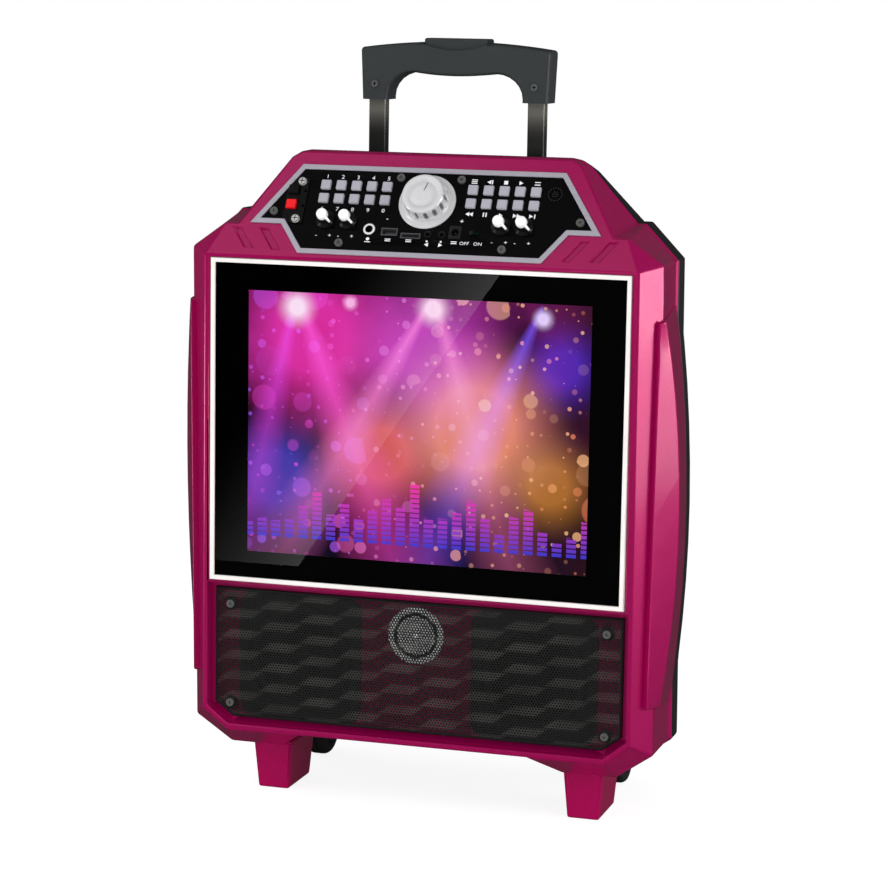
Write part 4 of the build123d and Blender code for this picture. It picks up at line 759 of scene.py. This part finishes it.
# ------------------------------------------------------------------ operators
class KARAOKE_OT_case(bpy.types.Operator):
    """Both shells and the feet: flat moulded faces with rounded edges"""
    bl_idname = "karaoke.case"
    bl_label = "Case and feet"

    def execute(self, context):
        edge = context.scene.karaoke_sizes.case_edge
        softened("front_shell", "case_lacquer", edge, 4.5, 14, 3, 6)
        softened("rear_shell", "rear_black", edge, 4.5, 14, 3, 6)
        for side in ("left", "right"):
            softened(f"foot_{side}", "feet_lacquer", 0.0022, 5.0, 22, 3, 6)
        return {"FINISHED"}


class KARAOKE_OT_screen(bpy.types.Operator):
    """Display: white rim, clear glass, black border behind it and the lit picture"""
    bl_idname = "karaoke.screen"
    bl_label = "Screen"

    def execute(self, context):
        softened("screen_frame", "rim_white", 0.0011, 20.0, 30, 4)
        glass = frame["nodes"]["screen_glass"].data
        glass.materials.clear()
        glass.materials.append(finish("glass_clear"))

        def corners(half, low, top, y):
            return [(-half, y, low), (half, y, low), (half, y, top), (-half, y, top)]

        lit = corners(PICTURE_HALF, PICTURE_LOW, PICTURE_TOP, PICTURE_Y)
        add_shape("picture_panel", row(lit), [(0, 1, 2, 3)], "display", "picture", smooth=False)
        border = (corners(GLASS_HALF, GLASS_LOW, GLASS_TOP, GLASS_BACK)
                  + corners(PICTURE_HALF, PICTURE_LOW, PICTURE_TOP, GLASS_BACK))
        faces = [(i, (i + 1) % 4, 4 + (i + 1) % 4, 4 + i) for i in range(4)]
        add_shape("glass_border", row(border), faces, "display", "glass_black", smooth=False)
        return {"FINISHED"}


def opening(inset):
    """Speaker opening's outline in X and Z, moved in.  The cut corners move by less."""
    half, cut = OPENING_HALF - inset, inset * 0.42
    right = [(OPENING_FOOT - cut, OPENING_LOW + inset), (half, OPENING_CORNER + cut),
             (half, OPENING_TOP - inset)]
    return np.array(right + [(-x, z) for x, z in right[::-1]])


class KARAOKE_OT_grille(bpy.types.Operator):
    """Grille sheet: six-sided holes in staggered rows, inside a rolled edge

    Each cell is a hexagon of the sheet's lattice with a smaller hexagon cut out, whose walls go
    through the sheet.
    """
    bl_idname = "karaoke.grille"
    bl_label = "Speaker grille"

    def execute(self, context):
        sizes = context.scene.karaoke_sizes
        pitch = sizes.hole_pitch * 1000
        i, j = np.meshgrid(np.arange(-40, 41), np.arange(-80, 81), indexing="ij")
        x = (j + 0.5 * (i % 2)) * pitch
        z = SHEET_Z + i * (pitch * math.sqrt(3) / 2)
        inner = opening(SHEET_INSET)
        keep = np.ones(x.shape, bool)
        for a, b in zip(inner, np.roll(inner, -1, 0)):
            keep &= (b[0] - a[0]) * (z - a[1]) - (b[1] - a[1]) * (x - a[0]) > 0
        for sx, sz in GRILLE_SCREWS:
            keep &= np.hypot(x - sx, z - sz) > PAD_RADIUS
        x, z = x[keep], z[keep]
        turn = np.radians(30 + 60 * np.arange(6))
        cell = pitch / math.sqrt(3)
        hole = cell * sizes.hole_share
        rings = [(cell, SHEET_FRONT), (hole, SHEET_FRONT), (hole, SHEET_BACK)]
        points = np.stack([
            np.stack([x[:, None] + r * np.cos(turn), np.full((len(x), 6), y),
                      z[:, None] + r * np.sin(turn)], -1) for r, y in rings], 1).reshape(-1, 3)
        one = np.concatenate([grid_faces(2, 6), grid_faces(2, 6, start=6)])
        quads = (one[None] + (np.arange(len(x)) * 18)[:, None, None]).reshape(-1, 4)
        mesh = bpy.data.meshes.new("grille_sheet")
        mesh.from_pydata(row(points).tolist(), [], quads.tolist())
        add_piece("grille_sheet", mesh, "cabinet", "grille_weave", ["speaker_grille"])
        steps = [(7.6, 10.05), (7.2, 9.75), (6.4, 9.70), (5.6, 10.0), (5.1, 10.8), (5.0, 12.0),
                 (5.0, 14.0)]
        loops = [row([(px, y, pz) for px, pz in opening(inset)]) for inset, y in steps]
        add_shape("grille_rim", np.concatenate(loops), grid_faces(len(steps), 6), "grille",
                  "grille_black")
        pad = [(0, 0), (5.2, 0), (6.0, 0.3), (6.2, 1.0)]
        pads = [facing(pad, 24, sx, PAD_Y, sz) for sx, sz in GRILLE_SCREWS]
        add_shape("grille_pads", *join(pads), "grille", "grille_black", closed=True)
        return {"FINISHED"}


def rounded_plate(x, z, half, corner, hole, front, back):
    """A square plate with round corners and a round hole, as rings of one grid.

    The outline is the square's edge at each angle, pulled in where it leaves the round corner.
    """
    angle = np.linspace(0, 2 * np.pi, 96, endpoint=False)
    away = np.stack([np.cos(angle), np.sin(angle)], 1)
    flat = away * (half / np.abs(away).max(1))[:, None]
    straight = half - corner
    over = np.maximum(np.abs(flat) - straight, 0)
    far = np.linalg.norm(over, axis=1)[:, None]
    over = over * np.where(far > corner, corner / np.maximum(far, 1e-9), 1.0)
    edge = np.sign(flat) * (np.minimum(np.abs(flat), straight) + over)
    inner = away * hole
    rings = [(inner, back), (inner, front), (edge * 0.985, front), (edge, front + 0.6),
             (edge, back)]
    points = np.concatenate([np.stack([r[:, 0] + x, np.full(96, y), r[:, 1] + z], 1)
                             for r, y in rings])
    return row(points), grid_faces(5, 96, close_rows=True)


class KARAOKE_OT_speakers(bpy.types.Operator):
    """Woofers and tweeter: turned cones, rolls and domes on moulded flanges"""
    bl_idname = "karaoke.speakers"
    bl_label = "Speakers"

    def execute(self, context):
        roll = [(42.5 - 4 * math.cos(a), 14.2 - 2.6 * math.sin(a))
                for a in np.linspace(0, np.pi, 9)]
        cone = [(0, 20.5), (6, 20.9), (12, 23.5), (15, 27), (15.5, 29), (38, 14.8)] + roll
        cone += [(47.4, 14.2), (47.4, 12.6), (49.5, 12.2), (52, 11.6)]
        back = [(48.5, 14.4), (48.5, 20), (33, 52), (38, 54), (38, 78), (0, 78)]
        for side, x in (("left", -WOOFER_X), ("right", WOOFER_X)):
            add_shape(f"woofer_{side}_cone", *facing(cone, 72, x, 0, WOOFER_Z), "speaker",
                      "speaker_cone", closed=True)
            basket = join([rounded_plate(x, WOOFER_Z, 56, 14, 48.5, 11.55, 14.0),
                           facing(back, 72, x, 0, WOOFER_Z)])
            add_shape(f"woofer_{side}_basket", *basket, "speaker", "speaker_frame",
                      stands=[f"woofer_{side}"], closed=True)
        dome = [(0, 10.6), (1.6, 10.7), (2.4, 11.4), (3.0, 13.2), (6, 12.6), (9.5, 12.9),
                (11.5, 13.8), (12.6, 13.4)]
        ring = [(12.5, 13.4), (14, 12.6), (20.5, 12.0), (22.0, 11.5), (25, 11.9), (25, 14),
                (19.5, 14), (19.5, 21), (18, 21), (18, 35), (0, 35)]
        band = [(17.0, 12.3), (17.6, 11.7), (19.4, 11.6), (20.0, 12.2)]
        for name, profile, look, stands in (("dome", dome, "dome_silver", ()),
                                            ("ring", ring, "dome_silver", ["tweeter"]),
                                            ("band", band, "speaker_frame", ())):
            add_shape(f"tweeter_{name}", *facing(profile, 64, 0, 0, TWEETER_Z), "tweeter", look,
                      stands=stands, closed=name != "band")
        return {"FINISHED"}


class KARAOKE_OT_console(bpy.types.Operator):
    """Console: plate, silver border, keys and levers with rounded edges"""
    bl_idname = "karaoke.console"
    bl_label = "Console plate and keys"

    def execute(self, context):
        softened("panel_plate", "console_black", 0.0003, 6.0, 40, 2)
        softened("panel_trim", "border_silver", 0.0007, 4.0, 25, 3)
        for number in range(1, 21):
            softened(f"button_{number:02d}", "key_grey", 0.0001, 2.0, 60, 1, 12)
        softened("lever_black", "block_black", 0.0008, 2.5, 35)
        softened("lever_red", "lever_red", 0.0008, 2.5, 35)
        softened("terminal_block", "block_black", 0.0003, 2.5, 35, 2)
        heads, marks = [], []
        head = [(3.75, 1.7), (3.75, 3.3), (3.3, 3.95), (1.8, 4.25), (0, 4.3)]
        for v in TERMINAL_VS:
            points, faces = turned(head, 32)
            heads.append((on_console(points, TERMINAL_U, v), faces))
            # Painted shade: flat near-black bars just above each screw head stand in for the shadow
            # in its cross recess.
            for bar in cross(2.3, 0.36):
                flat = [(a, b, 4.34) for a, b in bar]
                marks.append((on_console(flat, TERMINAL_U, v), [(0, 1, 2, 3)]))
        add_shape("terminal_screws", *join(heads), "steel", "screw_bright", closed=True)
        add_shape("terminal_crosses", *join(marks), "steel", "dust_dark", smooth=False)
        dots = []
        for count, far in ((1, 0.0), (6, 2.2), (16, 5.9)):
            for turn in np.arange(count) * 2 * math.pi / count:
                points, faces = turned([(0.5, 0.02), (0.5, 0.08), (0, 0.1)], 8)
                dots.append((on_console(points, VENT[0] + far * math.cos(turn),
                                        VENT[1] + far * math.sin(turn)), faces))
        add_shape("vent_dots", *join(dots), "panel_black", "battery_grey", closed=True)
        return {"FINISHED"}


class KARAOKE_OT_knobs(bpy.types.Operator):
    """Knobs: turned profiles, with finger hollows round the volume knob

    The volume knob's radius is r(h) (1 - d(h) s(a)), where s is a scallop of the angle and d is
    largest at the side of the cap.
    """
    bl_idname = "karaoke.knobs"
    bl_label = "Knobs"

    def execute(self, context):
        flutes = context.scene.karaoke_sizes.knob_flutes
        cap = [(20.2, 4.2), (19.6, 5.2), (19.4, 6.2), (19.2, 8.0), (19.0, 10.5), (18.8, 12.6),
               (18.6, 14.2), (18.45, 16.0), (18.1, 17.1), (17.3, 17.9), (16.2, 18.0),
               (12.2, 17.85), (11.9, 17.65), (11.4, 17.65), (11.1, 17.82), (6.0, 17.75), (0, 17.75)]
        skirt = [(0, 0.4), (24.6, 0.4), (25.0, 0.8), (25.0, 1.7), (24.5, 2.3), (23.2, 2.6),
                 (21.5, 3.2), (20.6, 4.2), (20.2, 4.2)]

        def wave(profile, angle):
            height = profile[:, 1:]
            depth = np.where((profile[:, :1] > 17) & (height > 5.5),
                             np.clip((16.6 - height) / 4.0, 0, 1) * 0.14, 0.0)
            return 1 - depth * np.maximum(np.cos(angle * flutes), 0.0) ** 0.8

        points, faces = join([turned(cap, flutes * 16, wave), turned(skirt, flutes * 16)])
        add_shape("volume_cap", on_console(points, 0, VOLUME_V), faces, "knob_silver",
                  "knob_silver", "volume_knob", ["volume_knob"], closed=True)
        line = rotated([(a, b, 17.9) for a, b in ((-0.35, 3), (0.35, 3), (0.35, 10.6),
                                                  (-0.35, 10.6))], -18)
        add_shape("volume_mark", on_console(line, 0, VOLUME_V), [(0, 1, 2, 3)], "knob_silver",
                  "battery_grey", "volume_knob", smooth=False)
        skirt = [(0, 0.4), (8.1, 0.4), (8.4, 0.7), (8.4, 1.8), (8.0, 2.4), (6.6, 3.0), (5.6, 4.2),
                 (5.2, 6.0), (5.1, 9.5), (4.7, 10.2)]
        stem = [(5.0, 9.6), (4.9, 11.0), (4.75, 13.0), (4.45, 13.7), (3.9, 14.0), (0, 14.0)]
        for number, u in enumerate(KNOB_US, start=1):
            body = f"small_knob_{number}"
            for name, profile, look in (("skirt", skirt, "knob_black"),
                                        ("stem", stem, "knob_white")):
                points, faces = join([turned(profile, 40), pointer(name)])
                add_shape(f"{body}_{name}", on_console(points, u, KNOB_V), faces, "knob_white",
                          look, body, [body] if name == "skirt" else (), closed=True)
        return {"FINISHED"}


def pointer(part):
    """The small knobs' pointer: a slim wedge from the stem down to the skirt's edge.

    Sections across the pointer (distance out, low, high, half width) are rectangles with a
    crowned top, carried along its length.
    """
    if part == "stem":
        sections = [(2.0, 9.8, 13.9, 1.1), (4.6, 9.4, 13.2, 1.1), (6.4, 8.6, 11.0, 1.05),
                    (8.4, 6.6, 8.4, 0.9)]
    else:
        sections = [(1.0, 1.0, 9.6, 1.9), (4.8, 1.0, 9.2, 1.9), (7.2, 1.0, 7.8, 1.8),
                    (9.4, 1.0, 5.6, 1.6), (9.9, 1.0, 4.6, 1.3)]
    rings = [[(r, -w, low), (r, w, low), (r, w, high - 0.5), (r, w * 0.6, high),
              (r, -w * 0.6, high), (r, -w, high - 0.5)] for r, low, high, w in sections]
    count = len(sections)
    faces = grid_faces(count, 6).tolist()
    faces.append(list(range(6))[::-1])
    faces.append(list(range((count - 1) * 6, count * 6)))
    return rotated(np.array(rings).reshape(-1, 3), -37.6), faces


class KARAOKE_OT_sockets(bpy.types.Operator):
    """Sockets, switch and screws of the console, and finishes of the parts inside"""
    bl_idname = "karaoke.sockets"
    bl_label = "Sockets and screws"

    def execute(self, context):
        looks = {"mic_jack": "socket_black", "media_module": "port_metal",
                 "line_jacks": "socket_black", "dc_jack": "socket_black",
                 "switch_slider": "socket_black", "case_screws": "screw_grey",
                 "grip_screws": "screw_grey", "control_board": "circuit_green",
                 "amp_board": "circuit_green", "battery": "battery_grey",
                 "lcd_panel": "module_metal", "wheel_axle": "axle_steel",
                 "wheel_bracket": "rear_black"}
        for name, look in looks.items():
            mesh = frame["nodes"][name].data
            mesh.materials.clear()
            mesh.materials.append(finish(look))
        rings = []
        for place, radius, proud in ((MIC, 5.3, 1.2), (LINE_OUT, 3.0, 0.9), (LINE_IN, 3.0, 0.9)):
            profile = [(radius * 0.64, 0.2), (radius * 0.64, proud), (radius * 0.72, proud + 0.2),
                       (radius * 0.92, proud), (radius, proud - 0.5), (radius, 0.0)]
            points, quads = turned(profile, 40)
            rings.append((on_console(points, *place), quads))
        add_shape("socket_ring", *rings[0], "socket_metal", "socket_metal")
        add_shape("line_rings", *join(rings[1:]), "socket_black", "knob_black")
        return {"FINISHED"}


RIGHT_ARROW = [(-1.4, -1.7), (1.6, 0), (-1.4, 1.7)]
LEFT_ARROW = [(1.4, -1.7), (1.4, 1.7), (-1.6, 0)]
BAR = [(-0.45, -1.7), (0.45, -1.7), (0.45, 1.7), (-0.45, 1.7)]
LINE = [(-2.2, -0.35), (2.2, -0.35), (2.2, 0.35), (-2.2, 0.35)]
SQUARE = [(-1.5, -1.5), (1.5, -1.5), (1.5, 1.5), (-1.5, 1.5)]
ICONS = [
    (LINE, 38.1, 75.4), (LINE, 38.1, 73.8), (LINE, 38.1, 72.2),
    (LEFT_ARROW, 51.0, 73.8), (BAR, 53.8, 73.8),
    (SQUARE, 65.7, 73.8), (RIGHT_ARROW, 79.0, 73.8), (LINE, 93.3, 75.0), (LINE, 93.3, 72.6),
    (LEFT_ARROW, 36.6, 43.2), (LEFT_ARROW, 39.8, 43.2), (BAR, 50.6, 43.2), (BAR, 53.0, 43.2),
    (RIGHT_ARROW, 65.7, 43.2), (RIGHT_ARROW, 78.0, 43.2), (RIGHT_ARROW, 81.2, 43.2),
    (RIGHT_ARROW, 92.2, 43.2), (BAR, 95.4, 43.2),
    (LINE, -47.3, 13.7), (LINE, -29.5, 16.9), (LINE, -29.5, 15.3), (LINE, -11.0, 16.9),
    (LINE, -11.0, 15.3), (LINE, 29.0, 16.9), (LINE, 29.0, 15.3), (LEFT_ARROW, 5.2, 13.3),
    (RIGHT_ARROW, 17.6, 13.3),
]
INK_HEIGHT, INK_SPREAD = 0.06, 1.15


def printed(text, size):
    """A word's flat points and faces about its own middle."""
    curve = bpy.data.curves.new("mark", "FONT")
    curve.body = text
    curve.size = size
    curve.align_x, curve.align_y = "CENTER", "CENTER"
    curve.resolution_u = 3
    holder = bpy.data.objects.new("mark", curve)
    bpy.context.scene.collection.objects.link(holder)
    flat = bpy.data.meshes.new_from_object(holder.evaluated_get(
        bpy.context.evaluated_depsgraph_get()))
    points = np.zeros(len(flat.vertices) * 3)
    flat.vertices.foreach_get("co", points)
    faces = [list(p.vertices) for p in flat.polygons]
    bpy.data.objects.remove(holder)
    bpy.data.curves.remove(curve)
    return points.reshape(-1, 3) * np.array([INK_SPREAD, 1, 0]), faces


class KARAOKE_OT_labels(bpy.types.Operator):
    """Plain white marks on the console: key numbers, plus and minus, on and off, and arrows"""
    bl_idname = "karaoke.labels"
    bl_label = "Console marks"

    def execute(self, context):
        words = [(str((i + 1) % 10), KEY_U + KEY_PITCH * (i % 5), NUMBER_VS[i // 5], 5.0)
                 for i in range(10)]
        words += [("-", -33.0, 36.0, 6.0), ("+", 33.0, 36.0, 6.0), ("OFF", 38.2, 15.6, 4.2),
                  ("ON", 50.0, 15.6, 4.2)]
        for u in KNOB_US:
            words += [("-", u - 6.0, 18.0, 5.0), ("+", u + 6.0, 18.0, 5.0)]
        lift = np.array([0, 0, INK_HEIGHT])
        meshes = []
        for text, u, v, size in words:
            points, faces = printed(text, size)
            meshes.append((on_console(points + lift, u, v), faces))
        turn = np.linspace(0, 2 * np.pi, 16, endpoint=False)
        disc = np.column_stack([np.cos(turn), np.sin(turn), np.zeros(16)])
        for (u, _), radius in ((MIC, 1.5), (LINE_OUT, 0.9), (LINE_IN, 0.9)):
            meshes.append((on_console(disc * radius + lift, u, DOT_V), [list(range(16))]))
        for shape, u, v in ICONS:
            points = np.array([(a * INK_SPREAD, b * INK_SPREAD, INK_HEIGHT) for a, b in shape])
            meshes.append((on_console(points, u, v), [list(range(len(points)))]))
        add_shape("console_marks", *join(meshes), "knob_white", "print_white", smooth=False)
        return {"FINISHED"}


class KARAOKE_OT_handle(bpy.types.Operator):
    """Handle: tubes, grip and release button with rounded edges"""
    bl_idname = "karaoke.handle"
    bl_label = "Handle"

    def execute(self, context):
        for name, width in (("inner_tube_left", 0.0016), ("inner_tube_right", 0.0016),
                            ("handle_channel", 0.0012)):
            softened(name, "tube_black", width, 8.0, 60, 3)
        rolled("grip", "grip_plastic", (GRIP_FRONT + Y_SHIFT) * 0.001,
               (GRIP_BACK + Y_SHIFT) * 0.001, GRIP_EDGE * 0.001)
        # Painted shade: flat near-black bars on the grip's screw heads stand in for the shadow in
        # their cross recesses.
        crosses = [(row([(x + a, y, z + b) for a, b in bar]), [(0, 1, 2, 3)])
                   for x, y, z in GRIP_SCREWS for bar in cross(1.9, 0.42)]
        add_shape("grip_crosses", *join(crosses), "steel", "dust_dark",
                  body_of(frame["nodes"]["grip"])[0], smooth=False)
        softened("release_button", "grip_plastic", 0.0006, 1.5, 30, 3)
        return {"FINISHED"}


class KARAOKE_OT_wheels(bpy.types.Operator):
    """Wheels: a rounded tread with two grooves, and a hub with hollows between its spokes"""
    bl_idname = "karaoke.wheels"
    bl_label = "Wheels"

    def execute(self, context):
        spokes = context.scene.karaoke_sizes.tyre_ribs
        tread = [(21, -9), (26.4, -9), (27.8, -8.6), (29.2, -7), (29.9, -5), (30, -3.4),
                 (29.0, -3.1), (29.0, -2.5), (30, -2.2)]
        tread += [(r, -h) for r, h in tread[::-1]]
        hub = [(3.05, -9), (8.2, -9), (9, -8.4), (9.4, -7.0), (20.0, -7.0), (20.6, -8.2),
               (21, -8.8)]
        hub += [(r, -h) for r, h in hub[::-1]]
        for side, x in (("left", -WHEEL_X), ("right", WHEEL_X)):
            for name, profile, look in (("tyre", tread, "tyre_rubber"),
                                        ("hub", hub, "socket_black")):
                points, quads = turned(profile, 96)
                if name == "hub":
                    angle = np.arctan2(points[:, 1], points[:, 0])
                    far = np.hypot(points[:, 0], points[:, 1])
                    web = (far > 9.3) & (far < 20.1)
                    rib = np.clip(np.cos(angle * spokes) * 3 - 1.9, 0, 1)
                    points[:, 2] += np.where(web, np.sign(points[:, 2]) * rib * 1.4, 0.0)
                points = points[:, [2, 0, 1]] + np.array([x, WHEEL_Y, WHEEL_Z])
                add_shape(f"wheel_{side}_{name}", row(points), quads, "tyre_black", look,
                          f"wheel_{side}", [f"wheel_{side}"] if name == "tyre" else (), closed=True)
        return {"FINISHED"}


# Stage, in row metres: (name, place, target, width, height, watts, seen in reflections)
STAGE_LAMPS = [
    ("key_lamp", (-1.6, -1.9, 2.0), (0.0, 0.0, 0.35), 1.2, 1.2, 26, False),
    ("front_lamp", (0.4, -2.9, 0.5), (0.0, 0.0, 0.25), 1.4, 0.8, 26, False),
    ("fill_lamp", (2.4, -1.6, 1.2), (0.1, 0.0, 0.3), 0.9, 1.4, 8, False),
    ("right_box", (1.7, -0.1, 0.50), (0.2, -0.1, 0.42), 1.3, 0.6, 11.5, True),
    ("right_low_box", (1.7, -0.1, 0.10), (0.2, -0.1, 0.2), 1.3, 0.18, 1.4, True),
    ("ridge_box", (-1.45, -0.75, 0.10), (-0.2, -0.1, 0.3), 0.3, 0.3, 2.4, True),
    ("left_lamp", (-1.5, 0.6, 0.5), (-0.2, 0.0, 0.3), 0.9, 0.6, 3.6, False),
    ("top_box", (-0.7, -1.5, 2.1), (0.0, 0.0, 0.5), 1.2, 0.8, 1.0, True),
]
CARD_CORNER, CARD_Y = (-0.212, -1.11, 0.376), -1.11
CAMERA_RIGHT, CAMERA_UP = (0.9560094, 0.2928551, 0.0167926), (-0.0612195, 0.1432065, 0.9877976)
CAMERA_AWAY, CAMERA_PLACE = (0.2868767, -0.9453718, 0.1548352), (0.710858, -2.3619419, 0.6981951)


def sheet(name, corners):
    """One staged face with its own material, and that material's node tree."""
    mesh = bpy.data.meshes.new(name)
    mesh.from_pydata(corners, [], [list(range(len(corners)))])
    made = bpy.data.objects.new(name, mesh)
    bpy.context.scene.collection.objects.link(made)
    material = bpy.data.materials.new(name + "_surface")
    material.use_nodes = True
    mesh.materials.append(material)
    return made, material.node_tree


def glow(tree, strength):
    """White light of a strength."""
    return node(tree, "Emission", Color=(1, 1, 1, 1), Strength=strength).outputs[0]


class KARAOKE_OT_stage(bpy.types.Operator):
    """Stage: pale floor, soft lamps, a card for the glass to reflect, and the camera"""
    bl_idname = "karaoke.stage"
    bl_label = "Stage"

    def execute(self, context):
        scene = context.scene
        scene.view_settings.view_transform = "Standard"
        _, tree = sheet("floor", [(-8, -8, 0), (8, -8, 0), (8, 8, 0), (-8, 8, 0)])
        shader = tree.nodes["Principled BSDF"]
        plain(shader, base_color=(0.90, 0.90, 0.90, 1), roughness=0.9)
        ray = node(tree, "LightPath").outputs
        share = Number(tree, ray["Is Camera Ray"]) * 0.70
        pale = node(tree, "MixShader", share, shader.outputs[0], glow(tree, 1.25)).outputs[0]
        dark = node(tree, "MixShader", ray["Is Glossy Ray"], pale, glow(tree, 0.03)).outputs[0]
        plug(tree, tree.nodes["Material Output"].inputs["Surface"], dark)
        scene.world = bpy.data.worlds.new("studio")
        scene.world.use_nodes = True
        tree = scene.world.node_tree
        ray = node(tree, "LightPath").outputs
        level = Number(tree, ray["Is Camera Ray"]) * 0.50 + 0.50
        level = level - Number(tree, ray["Is Glossy Ray"]) * 0.45
        back = tree.nodes["Background"]
        plug(tree, back.inputs["Strength"], level)
        back.inputs["Color"].default_value = (1, 1, 1, 1)
        for name, place, target, width, tall, power, mirrored in STAGE_LAMPS:
            data = bpy.data.lights.new(name, "AREA")
            data.shape = "RECTANGLE"
            data.size, data.size_y, data.energy = width, tall, power
            lamp = bpy.data.objects.new(name, data)
            lamp.location = place
            lamp.visible_camera, lamp.visible_glossy = False, mirrored
            way = Vector(target) - Vector(place)
            lamp.rotation_euler = way.to_track_quat("-Z", "Y").to_euler()
            scene.collection.objects.link(lamp)
        board, tree = sheet("reflection_card", [
            CARD_CORNER, (-0.466, CARD_Y, 0), (-1.3, CARD_Y, 0), (-1.3, CARD_Y, 1.2),
            (0.344, CARD_Y, 1.2)])
        board.visible_camera = board.visible_diffuse = board.visible_shadow = False
        board.visible_transmission = False
        where = tree.nodes.new("ShaderNodeTexCoord").outputs["Object"]
        apart = vector(tree, "SUBTRACT", where, CARD_CORNER)
        far = vector(tree, "DOT_PRODUCT", apart, (-0.829, 0.0, 0.559))
        near = (1.0 - far / 0.17).clamped()
        plug(tree, tree.nodes["Material Output"].inputs["Surface"],
             glow(tree, near * near * 1.25))
        data = bpy.data.cameras.new("camera")
        data.sensor_width, data.lens = 36.0, 113.643
        data.clip_start, data.clip_end = 0.05, 60
        camera = bpy.data.objects.new("camera", data)
        columns = [(*CAMERA_RIGHT, 0), (*CAMERA_UP, 0), (*CAMERA_AWAY, 0), (*CAMERA_PLACE, 1)]
        camera.matrix_world = Matrix(columns).transposed()
        scene.collection.objects.link(camera)
        scene.camera = camera
        return {"FINISHED"}


class KARAOKE_PT_panel(bpy.types.Panel):
    """The karaoke machine's pieces, sizes and colours"""
    bl_idname = "KARAOKE_PT_panel"
    bl_label = "Karaoke machine"
    bl_space_type = "VIEW_3D"
    bl_region_type = "UI"
    bl_category = "Karaoke"

    def draw(self, context):
        for group in (context.scene.karaoke_sizes, context.scene.karaoke_colours):
            box = self.layout.box()
            for name in group.__annotations__:
                box.prop(group, name)
        for operator in OPERATORS:
            self.layout.operator(operator.bl_idname)


OPERATORS = (KARAOKE_OT_case, KARAOKE_OT_screen, KARAOKE_OT_grille, KARAOKE_OT_speakers,
             KARAOKE_OT_console, KARAOKE_OT_knobs, KARAOKE_OT_sockets, KARAOKE_OT_labels,
             KARAOKE_OT_handle, KARAOKE_OT_wheels, KARAOKE_OT_stage)
CLASSES = (KaraokeSizes, KaraokeColours, *OPERATORS, KARAOKE_PT_panel)


def register():
    """Add the classes and their settings."""
    for each in CLASSES:
        bpy.utils.register_class(each)
    bpy.types.Scene.karaoke_sizes = bpy.props.PointerProperty(type=KaraokeSizes)
    bpy.types.Scene.karaoke_colours = bpy.props.PointerProperty(type=KaraokeColours)


def unregister():
    """Take the classes and their settings away."""
    del bpy.types.Scene.karaoke_colours
    del bpy.types.Scene.karaoke_sizes
    for each in reversed(CLASSES):
        bpy.utils.unregister_class(each)


def main():
    """Build every piece in order."""
    register()
    for operator in OPERATORS:
        group, name = operator.bl_idname.split(".")
        getattr(getattr(bpy.ops, group), name)()
    bpy.context.view_layer.update()


if __name__ == "__main__":
    main()
